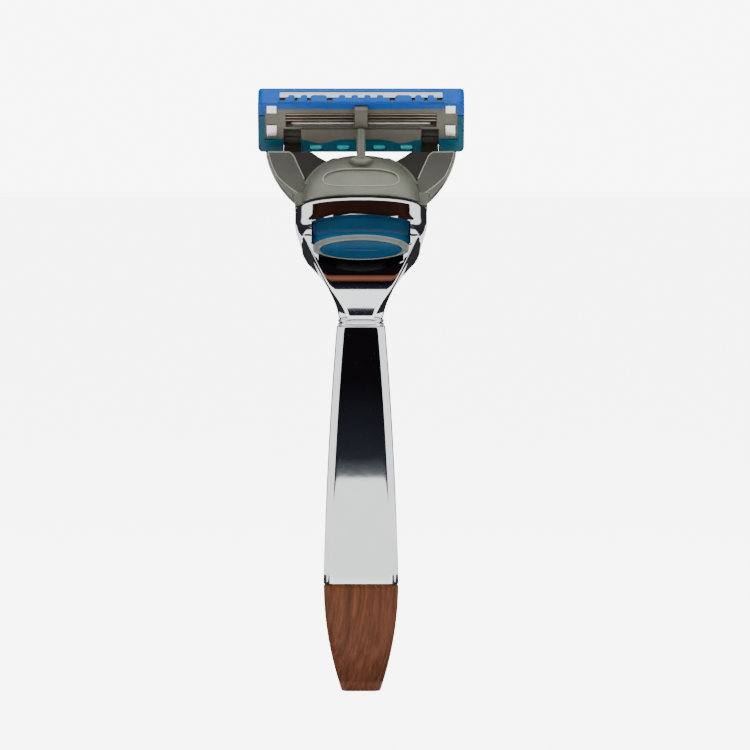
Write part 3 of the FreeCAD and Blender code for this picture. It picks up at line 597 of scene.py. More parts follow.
# The webs and fingers lie in the cartridge's shade: a near-black that lets the arms stand out.
WEB_GREY = Finish("flake_grey_abs_web", "#37322c", "#2c2823", metallic=0.2, roughness=0.5,
                  grain_mm=0.12, height_mm=0.003)
# The blade frame's moulding is a warmer, plainer grey that shows light through thin walls.
HOUSING_GREY = Finish("frame_grey_abs", "#7b776c", "#6d6a60", metallic=0.15, roughness=0.38,
                      grain_mm=0.15, height_mm=0.003)
# Gloss ABS cap in strong blue, straight from a polished mould.
CAP_BLUE = Finish("gloss_blue_abs", "#0063c8", "#0056b4", roughness=0.3, sheen=0.25, grain_mm=0.5,
                  height_mm=0.002)
# Translucent thermoplastic elastomer: soft, slightly greasy sheen, light glows in thin places.
TEAL_ELASTOMER = Finish("teal_elastomer", "#056680", "#04566e", roughness=0.42, sheen=0.3, transmission=0.15,
                        subsurface=0.35, grain_mm=0.2, height_mm=0.004)
# The same elastomer where it is a thin membrane: the bright aqua in the ports is a painted glow of light
# shining through.
AQUA_PAINTED_GLOW = Finish("teal_elastomer_painted_glow", "#1cf0f4", "#0adfe6", roughness=0.3, transmission=0.25,
                   subsurface=0.4, grain_mm=0.2, height_mm=0.002)
# Fine-etched ABS on the slider and pad: a deep blue with a soft edge to its highlights.
BUTTON_BLUE = Finish("satin_blue_abs", "#085179", "#06466a", roughness=0.36, sheen=0.25, grain_mm=0.15,
                     height_mm=0.003)
# Plain pale ABS: the even ring that frames the pad.
RIM_GREY = Finish("pale_grey_abs", "#8b918b", "#7d837d", roughness=0.33, sheen=0.4, grain_mm=0.2,
                  height_mm=0.003)
# Natural black acetal: a waxy dark depth behind the thumb window.
ACETAL = Finish("black_acetal", "#17171a", "#101012", roughness=0.45, grain_mm=0.2, height_mm=0.004)
# Bright ground blade steel: thin glints along each edge.
BLADE_STEEL = GroundSteel("ground_blade_steel", "#e9eaec", "#c9cbce", metallic=1.0, roughness=0.16)
# Bead-blasted stainless strip: an even, bright, soft grey-white.
TRIMMER_STEEL = Finish("bead_blasted_steel", "#f7f8f9", "#eceef0", metallic=0.55, roughness=0.55,
                       roughness_spread=0.05, grain_mm=0.2, height_mm=0.001)
# Pressed strip whose colour holds a painted brown reflection, for what it mirrors between the blades.
SUPPORT_STEEL_PAINTED_REFLECTION = GroundSteel("pressed_support_steel_painted_reflection", "#a8978a", "#82736a", metallic=1.0, roughness=0.28)
# Zinc-plated wire and rod: a dull grey glint, mostly hidden.
STUD_STEEL = Finish("zinc_plated_steel", "#b9bbbd", "#a5a7aa", metallic=1.0, roughness=0.32)
# Turned brass in the wooden cap: a warm yellow, hidden when the cap is on.
BRASS = Finish("turned_brass", "#c9a75c", "#b8954c", metallic=1.0, roughness=0.3)
# Folded aluminium strip with a bright mill finish.
MILL_ALUMINIUM = Finish("bright_aluminium", "#f1f1f1", "#dedede", metallic=1.0, roughness=0.24,
                        grain_mm=0.25, height_mm=0.002)
# Damp-looking polymer strip: milky, pale and matt.
SOAP_STRIP = Finish("soap_polymer", "#cfe6ee", "#bcd9e4", roughness=0.6, subsurface=0.3, grain_mm=0.12,
                    height_mm=0.02)


def deliver(piece: Piece, body: str, finish: Finish, stands_for: tuple = (),
            into: Frame | None = None, shading: float = 30) -> Piece:
    """Carry a piece into the row frame, shade and dress it, and hand it to its body.

    Args:
        piece: the finished mesh.
        body: the CAD body that it rides on.
        finish: its finish.
        stands_for: the CAD nodes that it replaces.
        into: the frame that it was drawn in, or None if it is in the row frame already.
        shading: the angle in degrees below which edges shade smooth.

    Returns:
        The piece.
    """
    if into:
        piece.data.transform(into.matrix)
    smooth(piece, shading)
    piece.data.materials.clear()
    piece.data.materials.append(finish.material())
    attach(piece, body)
    if stands_for:
        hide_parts(*stands_for)
    log.info("%s: %d faces on %s", piece.name, len(piece.data.polygons), body)
    return piece


def dress_node(name: str, finish: Finish) -> None:
    """Give a CAD node that stays its finish.

    Args:
        name: the CAD node.
        finish: its finish.
    """
    mesh = frame["nodes"][name].data
    mesh.materials.clear()
    mesh.materials.append(finish.material())
    log.info("%s: CAD node, %s", name, finish.name)


# ---------------------------------------------------------------- handle


@dataclass
class Handle:
    """The weighted chrome shaft, its wooden end cap and the slim ring at the neck."""

    seam: float = 21.6
    top: float = 73.1
    seam_half: Pair = (7.5, 5.7)
    top_half: Pair = (4.85, 4.3)
    end_half: Pair = (3.9, 3.1)
    face: Pair = (6.0, 3.3)
    drop: float = 1.5
    swell: float = 0.4
    ring_height: float = 1.3
    ring_half: Pair = (4.65, 4.25)

    def build(self) -> None:
        """Make and deliver every piece of the handle."""
        self.shaft()
        self.end_cap()
        self.neck_ring()
        for name, finish in (("cap_insert", BRASS), ("cap_stud", STUD_STEEL), ("neck_stud", STUD_STEEL)):
            dress_node(name, finish)

    def shaft_ring(self, height: float, inset: float = 0.0) -> list[Point]:
        """The shaft's faceted section at a height, drawn in by an inset.

        Args:
            height: the section's height.
            inset: how far it is drawn in.

        Returns:
            The ring, as points in millimetres.
        """
        share = (height - self.seam) / (self.top - self.seam)
        bulge = 4 * self.swell * share * (1 - share)
        half_x = self.seam_half[0] + (self.top_half[0] - self.seam_half[0]) * share + bulge - inset
        half_y = self.seam_half[1] + (self.top_half[1] - self.seam_half[1]) * share - inset
        face = self.face[0] + (self.face[1] - self.face[0]) * share + bulge - inset * 0.4
        return [(x, y, height) for x, y in faceted(half_x, half_y, face, self.drop, corner=0.35)]

    def shaft(self) -> None:
        """The long octagonal casting, with crisp polished corners and a fine lip at the seam."""
        piece = loft("shaft", [self.shaft_ring(height) for height in spaced(self.seam, self.top, 24)])
        round_edges(piece, 0.28, 3, 60)
        deliver(piece, "handle", CHROME, ("handle_shaft",), Frame.HANDLE, 25)

    def end_cap(self) -> None:
        """The wooden cap, flush with the shaft at the seam and curving in to its flat end."""
        rings = []
        for height in spaced(0, self.seam, 28):
            part = 1 - height / self.seam
            half_x = self.seam_half[0] + (self.end_half[0] - self.seam_half[0]) * part ** 2
            half_y = self.seam_half[1] + (self.end_half[1] - self.seam_half[1]) * part ** 2
            outline = faceted(half_x, half_y, half_x * 0.8, self.drop * (1 - 0.4 * part),
                              0.12 + 0.2 * part, 3.2, 0.8)
            shrink = 1 - 0.04 * step_up(height, self.seam - 0.3, self.seam)
            rings.append([(x * shrink, y * shrink, height) for x, y in outline])
        piece = loft("wooden_end_cap", rings)
        round_edges(piece, 0.3, 3, 50)
        deliver(piece, "handle", ROSEWOOD, ("end_cap",), Frame.HANDLE, 35)

    def neck_ring(self) -> None:
        """The slim ring with a groove round its middle."""
        rings = []
        for share in spaced(0, 1, 16):
            groove = 0.3 * math.exp(-((share - 0.5) / 0.1) ** 2)
            edge = 0.18 * (1 - step_up(share, 0, 0.15)) + 0.18 * step_up(share, 0.85, 1)
            half_x, half_y = (half - groove - edge for half in self.ring_half)
            level = self.top + self.ring_height * share
            rings.append([(x, y, level) for x, y in superellipse(half_x, half_y, 3.4, 64)])
        piece = loft("grooved_neck_ring", rings)
        deliver(piece, "handle", CHROME, ("neck_ring",), Frame.HANDLE, 40)


# ---------------------------------------------------------------- head


@dataclass
class Head:
    """The flaring chrome head: a thin-walled casting, open at the mouth, with the thumb window."""

    low: float = 74.4
    bend_start: float = 80.0
    bend_radius: float = 18.0
    straight: float = 9.6
    neck_half: Pair = (4.4, 4.0)
    mouth_half: Pair = (13.3, 6.0)
    flare: float = 19.6
    wall: float = 1.4
    floor: float = 15.2
    tilt: float = math.radians(25)
    window_top: float = -3.8
    window_wide: float = 9.9
    window_narrow: float = 8.5
    window_bottom: float = -15.4

    @property
    def length(self) -> float:
        """Length of the middle line from the neck ring to the mouth."""
        return self.straight + self.bend_radius * self.tilt + self.bend_start - self.low

    def section_frame(self, station: float) -> Matrix:
        """Where the section lies at a length below the mouth.

        Args:
            station: the length below the mouth, along the head's axis.

        Returns:
            The matrix that stands the section there.
        """
        bend = self.bend_radius * self.tilt
        mouth = Vector(MOUTH)
        along = Vector((0, math.sin(self.tilt), math.cos(self.tilt)))
        if station <= self.straight:
            middle, turn = mouth - along * station, self.tilt
        else:
            turn = max(0.0, self.tilt - (station - self.straight) / self.bend_radius)
            drop = max(0.0, station - self.straight - bend)
            middle = Vector((0, self.bend_radius * (1 - math.cos(turn)),
                             self.bend_start + self.bend_radius * math.sin(turn) - drop))
        return Matrix.Translation(middle) @ Matrix.Rotation(-turn, 4, "X")

    def ring(self, station: float, inset: float) -> list[Point]:
        """The head's section at a station: facets at the neck that melt into an oval at the mouth.

        Args:
            station: the length below the mouth.
            inset: how far the ring is drawn in.

        Returns:
            The ring, as points in millimetres.
        """
        rise = min(1.0, (self.length - station) / self.flare)
        open_share = 0.75 * math.sin(math.pi / 2 * rise) ** 2 + 0.25 * rise
        half_x = self.neck_half[0] + (self.mouth_half[0] - self.neck_half[0]) * open_share
        half_y = self.neck_half[1] + (self.mouth_half[1] - self.neck_half[1]) * open_share
        spread = 0.5 + 0.475 * math.sin(math.pi / 2 * min(1.0, rise / 0.42))
        face = half_x * (spread - 0.2 * step_up(rise, 0.8, 1.0))
        drop = 1.5 + 0.5 * step_up(rise, 0.3, 1.0)
        roundness = step_up(rise, 0.74, 0.96)
        power = 2.1 + 1.0 * (1 - open_share)
        outline = faceted(half_x, half_y, face, drop, roundness, power, 0.3)
        scale = ((half_x - inset) / half_x, (half_y - inset) / half_y)
        place = self.section_frame(station)
        return [tuple(place @ Vector((x * scale[0], y * scale[1], 0))) for x, y in outline]

    def window(self) -> Outline:
        """The thumb window from the front: arcs above and below, sides that draw in low down.

        Returns:
            The outline, in X and Z.
        """
        wide, narrow = self.window_wide, self.window_narrow
        turn = [(wide, -9.8), (narrow + 0.35, -10.8), (narrow, -11.8)]
        points = [(wide * share, self.window_top - 0.7 * share ** 2)
                  for share in (1 - step / 12 for step in range(25))]
        points += [(-x, z) for x, z in turn]
        points += [(narrow * share, self.window_bottom + 2.0 * share ** 2)
                   for share in (step / 8 - 1 for step in range(17))]
        return points + turn[::-1]

    def build(self) -> None:
        """Make the shell and dress the insert that shows in its gaps."""
        rings = []
        for step in range(57):
            station = self.length * (1 - step / 56)
            lip = 0.25 * (1 - step_up(station, 0.0, 0.3)) + 0.2 * (1 - step_up(self.length - station, 0, 0.3))
            rings.append(self.ring(max(station, 0.0), lip))
        for station in spaced(0, self.floor, 24):
            rings.append(self.ring(station, self.wall - 0.2 * (1 - step_up(station, 0.0, 0.3))))
        shell = loft("head_casting", rings)
        tool = slab("window_tool", self.window(), -14.0, -1.2)
        tool.data.transform(Matrix.Scale(1 / MM, 4) @ Frame.DOCK.matrix)
        cut(shell, tool)
        round_edges(shell, 0.25, 3, 55)
        deliver(shell, "handle", CHROME, ("head_shell",), Frame.HANDLE, 38)
        dress_node("dock_body", ACETAL)


# ---------------------------------------------------------------- thumb button


@dataclass
class ThumbButton:
    """The eject button: a curved blue slider, a pale oval rim and a dished blue pad."""

    face_centre: Pair = (-6.75, -11.4)
    face_half: Pair = (9.6, 2.5)
    lean: float = math.radians(30)
    pad_half: Pair = (8.2, 1.88)
    thickness: float = 0.8
    band_low: float = -11.6
    band_tall: float = 8.6
    pad_low: float = 0.44

    def face_frame(self) -> Matrix:
        """The oval face's frame in the dock frame: X along the blades, Z out of the face."""
        middle = Vector((0, self.face_centre[0], self.face_centre[1]))
        return Matrix.Translation(middle) @ Matrix.Rotation(math.pi / 2 + self.lean, 4, "X")

    def oval(self, half: Pair, inset: float, depth: float, low: float = 0.0) -> list[Point]:
        """A ring on the face.

        Args:
            half: half the oval's width and height.
            inset: how far the ring is drawn in.
            depth: its height above the face.
            low: how far below the face's middle it lies.

        Returns:
            The ring in the dock frame.
        """
        place = self.face_frame()
        outline = superellipse(half[0] - inset, half[1] - inset, 2.0, 96)
        return [tuple(place @ Vector((x, y - low, depth))) for x, y in outline]

    def build(self) -> None:
        """Make and deliver the button's pieces."""
        self.slider()
        self.rim()
        self.pad()
        deliver(softened("ejector_fork", 0.15), "thumb_button", ACETAL, ("ejector_fork",))

    def slider(self) -> None:
        """The band that fills the window and swells out to carry the oval face."""
        rings = []
        back = self.oval(self.face_half, 0.15, -self.thickness)
        for share in spaced(0, 1, 14):
            ring = []
            sink = share ** 1.3
            for x, y, z in back:
                wall = -5.2 + 2.1 * (x / self.face_half[0]) ** 2
                spread = (z - self.face_centre[1]) * 0.35 * share
                ring.append((x, y + (wall + 1.2 - y) * sink, z + spread + 0.9 * sink))
            rings.append(ring)
        hump = loft("slider_hump", rings)
        band = []
        for step in range(13):
            level = self.band_low + self.band_tall * (step / 12)
            rise = step_up(level, -9.6, -6.6)
            front, rear = [], []
            half = 9.7 - 1.5 * (1 - step_up(level, self.band_low, -10.2))
            for index in range(25):
                x = half * (index / 12 - 1)
                wall = -4.55 * (1 - (abs(x) / 11.9) ** 2.1) ** (1 / 2.1)
                crown = 1 - 0.55 * (x / self.face_half[0]) ** 4
                swell = 2.3 * (1 - rise) * crown * step_up(level, -11.8, -9.8)
                front.append((x, wall + 0.12 - swell, level))
                rear.append((x, wall + 0.62, level))
            band.append(front + rear[::-1])
        plate = loft("slider_band", band)
        round_edges(plate, 0.12, 2, 50)
        piece = join("slider", [hump, plate])
        deliver(piece, "thumb_button", BUTTON_BLUE, ("thumb_slider",), Frame.DOCK, 40)

    def rim(self) -> None:
        """The pale oval rim: wide above the pad, fine below it, with rounded shoulders."""
        rings = []
        for inset, depth in ((0.1, -0.8), (0.0, -0.55), (0.0, -0.3), (0.08, -0.1), (0.22, 0.0)):
            rings.append(self.oval(self.face_half, inset, depth))
        for inset, depth in ((0.0, -0.02), (0.1, -0.12), (0.16, -0.3), (0.16, -0.8)):
            rings.append(self.pad_ring(-0.12 + inset, depth))
        rings.append(self.pad_ring(0.3, -0.8))
        rings.append(self.oval(self.face_half, 0.6, -0.8))
        piece = loft("oval_rim", rings)
        deliver(piece, "thumb_button", RIM_GREY, ("button_rim",), Frame.DOCK, 50)

    def pad_ring(self, inset: float, depth: float) -> list[Point]:
        """A ring of the pad's own oval, which sits low in the face."""
        return self.oval(self.pad_half, inset, depth, self.pad_low)

    def pad(self) -> None:
        """The pad: dished, with one fine raised grip line and a centre pip."""
        rings = [self.pad_ring(0.05, -0.78), self.pad_ring(0.05, -0.22), self.pad_ring(0.15, -0.14)]
        place = self.face_frame()
        for share in spaced(0, 1, 24)[1:]:
            ring = []
            for x, y in superellipse(self.pad_half[0] - 0.15, self.pad_half[1] - 0.15, 2.0, 96):
                inner = 1 - share * 0.995
                px, py = x * inner, y * inner
                dish = -0.14 - 0.22 * (1 - inner ** 2)
                ridge = 0.1 * math.exp(-(py / 0.11) ** 2) * (1 - step_up(abs(px), 2.6, 3.6))
                ridge += 0.06 * math.exp(-((px / 0.16) ** 2 + (py / 0.16) ** 2))
                ring.append(tuple(place @ Vector((px, py - self.pad_low, dish + ridge))))
            rings.append(ring)
        piece = loft("thumb_pad", rings)
        deliver(piece, "thumb_button", BUTTON_BLUE, ("button_pad",), Frame.DOCK, 50)


# ---------------------------------------------------------------- plunger and spring


@dataclass
class Plunger:
    """The sprung rod that returns the cartridge, and the coil spring behind it."""

    axis_y: float = -1.9
    radius: float = 0.9
    flange: float = 1.25
    foot: float = -0.6
    tip: float = 16.1
    spring_low: float = -11.2
    spring_radius: float = 1.02
    wire: float = 0.15
    turns: int = 7

    def build(self) -> None:
        """Make the turned rod and the spring."""
        profile = [(self.flange - 0.12, self.foot), (self.flange, self.foot + 0.12),
                   (self.flange, self.foot + 0.78), (self.flange - 0.12, self.foot + 0.9),
                   (self.radius, self.foot + 0.92), (self.radius, self.tip)]
        profile += [(self.radius * math.cos(a), self.tip + self.radius * math.sin(a))
                    for a in (0.3, 0.6, 0.85, 1.1, 1.3, 1.5)]
        piece = turned("plunger_rod", profile, self.axis_y, 40)
        deliver(piece, "plunger_rod", FLAKE_GREY, ("plunger",), Frame.DOCK, 35)
        rings = []
        high = self.foot - self.wire - 0.02
        for share in spaced(0, 1, self.turns * 20):
            turn = 2 * math.pi * self.turns * share
            out = Vector((math.cos(turn), math.sin(turn), 0))
            middle = out * self.spring_radius
            middle += Vector((0, self.axis_y, self.spring_low + (high - self.spring_low) * share))
            rings.append([tuple(middle + out * (self.wire * x) + Vector((0, 0, self.wire * y)))
                          for x, y in superellipse(1, 1, 2, 10)])
        piece = loft("coil_spring", rings)
        deliver(piece, "plunger_rod", STUD_STEEL, ("return_spring",), Frame.DOCK, 50)


# ---------------------------------------------------------------- yoke


@dataclass
class Yoke:
    """The cartridge carrier: a domed hub, two swept arms and the bearing fingers."""

    half: Pair = (12.0, 5.6)
    height: float = 12.1
    base: float = 0.75
    lean: float = 0.8
    nose: Pair = (8.25, 4.05)
    nose_height: float = 6.25
    plate: Pair = (1.3, 3.5)
    plate_top: float = 13.3
    outer_radius: float = 19.5
    outer_centre: float = 16.7
    hole_radius: float = 15.2
    hole_centre: float = 24.9
    recess_level: float = 5.0
    recess_half: float = 7.6
    bore: float = 1.12
    bore_y: float = -1.9

    def build(self) -> None:
        """Make the dome, arms and fingers, with the sunk panels and the darker web between them."""
        parts = [self.dome(), self.collar(), self.brow()]
        panels, webs, lines = [], [], [self.recess_rail()]
        for side in (-1, 1):
            parts += [self.arm(side), self.foot(side)]
            lines += [self.edge_rail(side), self.outer_rail(side)]
            panels.append(self.panel(side))
            webs += [self.web(side), self.finger(side)]
        moulding = join("yoke_moulding", parts)
        deliver(moulding, "yoke_body", FLAKE_GREY, ("yoke",), Frame.DOCK, 40)
        # The raised lines carry a painted highlight in their pale colour.
        deliver(join("yoke_edge_lines", lines), "yoke_body", EDGE_HIGHLIGHT_GREY, (), Frame.DOCK, 50)
        deliver(join("yoke_panels", panels), "yoke_body", PANEL_GREY, (), Frame.DOCK, 40)
        deliver(join("yoke_webs", webs), "yoke_body", WEB_GREY, (), Frame.DOCK, 40)

    def dome_half(self, level: float) -> float:
        """Half the dome's width at a level."""
        return self.half[0] * (1 - (level / self.height) ** 2.2) ** 0.45

    def dome_depth(self, level: float) -> float:
        """Half the dome's depth at a level."""
        return self.half[1] * (1 - (level / self.height) ** 1.5) ** 0.6

    def recess(self, x: float, level: float) -> float:
        """How far the stadium recess sinks the dome's front at a place.

        Args:
            x: the place across the dome.
            level: its height.

        Returns:
            The depth, which is 0 outside the recess.
        """
        down = level - self.recess_level
        flat = 2.35 if down > 0 else 2.35 * 0.92
        reach = (abs(x) / self.recess_half) ** 3.2 + (abs(down) / flat) ** 2.6
        return 0.3 * (1 - step_up(reach, 0.9, 1.02))

    def dome(self) -> Piece:
        """The hub's dome, hollow below, with the recess in its front.

        Returns:
            The shell, to be joined with others or delivered.
        """
        rings = []
        for share in spaced(0, 1, 80):
            part = 1 - (1 - share) ** 1.7
            level = self.base + (self.height - self.base) * part * 0.97
            depth = self.dome_depth(level)
            lift = self.lean * level / self.height
            edge = 0.2 * (1 - step_up(level, self.base, self.base + 0.25))
            ring = []
            for x, y in superellipse(self.dome_half(level) - edge, depth - edge, 2.3, 280):
                sink = self.recess(x, level) if y < 0 else 0.0
                ring.append((x, y + lift + sink, level))
            rings.append(ring)
        inner = []
        for level in spaced(0, self.nose_height, 8):
            shrink = 1 - 0.24 * level / 6.0
            inner.append([(x, y, max(level, self.base)) for x, y in
                          superellipse(self.nose[0] * shrink, self.nose[1] * shrink, 2.3, 280)])
        return self.bored(loft("dome", inner[::-1] + rings))

    def brow(self) -> Piece:
        """The stepped ledge that runs over the dome's shoulder, behind its front.

        Returns:
            The shell, to be joined with others or delivered.
        """
        outer = [(self.dome_half(level) * 1.015 + 0.3, level + 0.12)
                 for level in (5.6, 6.6, 7.6, 8.6, 9.4, 10.1, 10.7, 11.2)]
        arch = [(-x, z) for x, z in outer] + [(x, z) for x, z in reversed(outer)]
        outline = arch + [(x * 0.8, z - 1.6) for x, z in reversed(arch)]
        piece = slab("brow", outline, 0.1, 1.6)
        round_edges(piece, 0.12, 2, 40)
        return piece

    def collar(self) -> Piece:
        """The saucer that the plunger comes out of."""
        profile = [(0.9, 8.1), (1.5, 8.3), (2.05, 8.75), (2.4, 9.15), (2.53, 9.38), (2.55, 9.52),
                   (2.48, 9.66), (2.3, 9.74), (1.9, 9.7), (1.5, 9.55), (1.25, 9.45), (0.9, 9.4)]
        return self.bored(turned("collar", profile, self.bore_y, 48))

    def bored(self, piece: Piece) -> Piece:
        """Cut the plunger's running bore through a piece."""
        cut(piece, turned("bore", [(self.bore, -1.0), (self.bore, 14.0)], self.bore_y, 48))
        return piece

    def outside(self, level: float) -> float:
        """Half the width across the arms' outer arc at a level."""
        return math.sqrt(self.outer_radius ** 2 - (level - self.outer_centre) ** 2) - 0.02

    def inside(self, level: float) -> float:
        """Where the arm's raised edge runs at a level: a gentle S up to a rounded top corner."""
        corner = max(0.0, level - (self.plate_top - 1.3)) / 1.3
        return 11.0 + 0.42 * (level - 6.4) + 1.3 * (1 - math.sqrt(1 - min(1.0, corner) ** 2))

    def arm(self, side: int) -> Piece:
        """One arm's body, between its outer arc and its raised inner edge.

        Args:
            side: -1 for the side at -X, 1 for the one at +X.

        Returns:
            The shell, to be joined with others or delivered.
        """
        levels = spaced(1.2, self.plate_top, 24)
        outer = [(side * self.outside(level), level) for level in levels]
        inner = [(side * max(9.0, self.inside(level)), level) for level in reversed(levels)]
        piece = slab("arm", outer + inner, self.plate[0], self.plate[1])
        round_edges(piece, 0.2, 3, 45)
        return piece

    def panel_outer(self, level: float) -> float:
        """Where the sunk panel ends near the arm's outer arc."""
        return min(math.sqrt(22.4 ** 2 - (level - 22.5) ** 2), self.outside(level) - 0.45)

    def panel(self, side: int) -> Piece:
        """The matt face between the arm's two raised lines.

        Args:
            side: -1 for the side at -X, 1 for the one at +X.

        Returns:
            The shell, to be joined with others or delivered.
        """
        levels = spaced(3.0, self.plate_top - 0.25, 20)
        outer = [(side * self.panel_outer(level), level) for level in levels]
        inner = [(side * min(max(9.6, self.inside(level)) + 0.12, self.panel_outer(level) - 0.1), level)
                 for level in reversed(levels)]
        return slab("panel", outer + inner, self.plate[0] - 0.04, self.plate[0] + 0.2)

    def rail(self, name: str, path: Outline, width: float, low: float, high: float) -> Piece:
        """A fine raised line that follows a path across the arm.

        Args:
            name: the line's name.
            path: the points that it follows.
            width: half its width.
            low: its front.
            high: its back.

        Returns:
            The shell, to be joined with others or delivered.
        """
        rings = []
        for index, (x, z) in enumerate(path):
            before, after = path[max(index - 1, 0)], path[min(index + 1, len(path) - 1)]
            run = Vector((after[0] - before[0], after[1] - before[1])).normalized()
            rings.append([(x - run.y * width * a, (low + high) / 2 + (high - low) / 2 * b,
                           z + run.x * width * a) for a, b in superellipse(1, 1, 3.0, 12)])
        return loft(name, rings)

    def recess_rail(self) -> Piece:
        """The fine raised line round the dome's stadium recess.

        Returns:
            The shell, to be joined with others or delivered.
        """
        rings = []
        for step in range(97):
            turn = 2 * math.pi * step / 96 - math.pi / 2
            across, rise = math.cos(turn), math.sin(turn)
            x = self.recess_half * math.copysign(abs(across) ** (2 / 3.0), across)
            flat = 2.4 if rise > 0 else 2.2
            level = self.recess_level + flat * math.copysign(abs(rise) ** (2 / 2.6), rise)
            depth = self.dome_depth(level)
            front = -depth * (1 - (abs(x) / self.dome_half(level)) ** 2.3) ** (1 / 2.3)
            middle = Vector((x, front + self.lean * level / self.height, level))
            out = Vector((across, 0, rise)).normalized()
            rings.append([tuple(middle + out * (0.11 * a) + Vector((0, 0.14 * b, 0)))
                          for a, b in superellipse(1, 1, 2.5, 10)])
        return loft("recess_rail", rings)

    def edge_rail(self, side: int) -> Piece:
        """The raised line down the arm's inner edge, from its rounded top corner.

        Args:
            side: -1 for the side at -X, 1 for the one at +X.

        Returns:
            The shell, to be joined with others or delivered.
        """
        levels = spaced(self.plate_top - 0.18, self.plate_top - 6.08, 24)
        path = [(side * (self.outside(self.plate_top) - 0.4), self.plate_top - 0.16)]
        path += [(side * (self.inside(level) + 0.1), level) for level in levels]
        return self.rail("edge_rail", path, 0.13, self.plate[0] - 0.16, self.plate[0] + 0.3)

    def outer_rail(self, side: int) -> Piece:
        """The raised line that runs inside the arm's outer arc.

        Args:
            side: -1 for the side at -X, 1 for the one at +X.

        Returns:
            The shell, to be joined with others or delivered.
        """
        levels = spaced(self.plate_top - 0.16, self.plate_top - 9.56, 24)
        path = [(side * self.panel_outer(level), level) for level in levels]
        return self.rail("outer_rail", path, 0.11, self.plate[0] - 0.14, self.plate[0] + 0.3)

    def web(self, side: int) -> Piece:
        """The thin web that joins arm, finger and dome round the opening.

        Args:
            side: -1 for the side at -X, 1 for the one at +X.

        Returns:
            The shell, to be joined with others or delivered.
        """
        outline = []
        for x in spaced(6.2, 12.6, 16):
            level = self.hole_centre - math.sqrt(self.hole_radius ** 2 - x ** 2)
            outline.append((side * x, min(level, self.plate_top + 0.1)))
        outline += [(side * 15.5, self.plate_top + 0.1), (side * 15.5, 9.0), (side * 12.4, 6.0),
                    (side * 10.4, 3.0), (side * 6.2, 3.0)]
        piece = slab("web", outline, self.plate[0] + 0.5, self.plate[1] - 0.3)
        round_edges(piece, 0.12, 2, 40)
        return piece

    def finger(self, side: int) -> Piece:
        """One bearing finger and its curved tongue.

        Args:
            side: -1 for the side at -X, 1 for the one at +X.

        Returns:
            The shell, to be joined with others or delivered.
        """
        low, high = sorted((side * 12.1, side * 15.6))
        pivot = (PIVOT_OUT, -PIVOT_LOW)
        outline = [(pivot[0] - 7.9, pivot[1] - 1.0)]
        arcs = [(3.15, (200,)), (2.36, range(200, 149, -10)), (3.15, (150, 158, 166))]
        for radius, angles in arcs:
            for turn in map(math.radians, angles):
                outline.append((pivot[0] + radius * math.cos(turn), pivot[1] + radius * math.sin(turn)))
        outline += [(pivot[0] - 3.1, pivot[1] + 0.5), (pivot[0] - 7.3, pivot[1] + 0.5)]
        piece = slab("finger", outline, low, high, "X")
        piece.data.transform(Frame.DOCK.matrix.inverted() @ Frame.CARTRIDGE.matrix)
        round_edges(piece, 0.12, 2, 35)
        return piece

    def foot(self, side: int) -> Piece:
        """The rounded foot where the arm stands on the head's mouth.

        Args:
            side: -1 for the side at -X, 1 for the one at +X.

        Returns:
            The shell, to be joined with others or delivered.
        """
        outline = [(side * 10.4, 0.5), (side * 13.0, 0.5), (side * 13.3, 0.8), (side * 13.35, 2.6),
                   (side * 13.9, 3.3), (side * 10.4, 3.3)]
        piece = slab("foot", outline, -0.9, self.plate[1] - 0.05)
        round_edges(piece, 0.22, 3, 30)
        return piece


# ---------------------------------------------------------------- cartridge


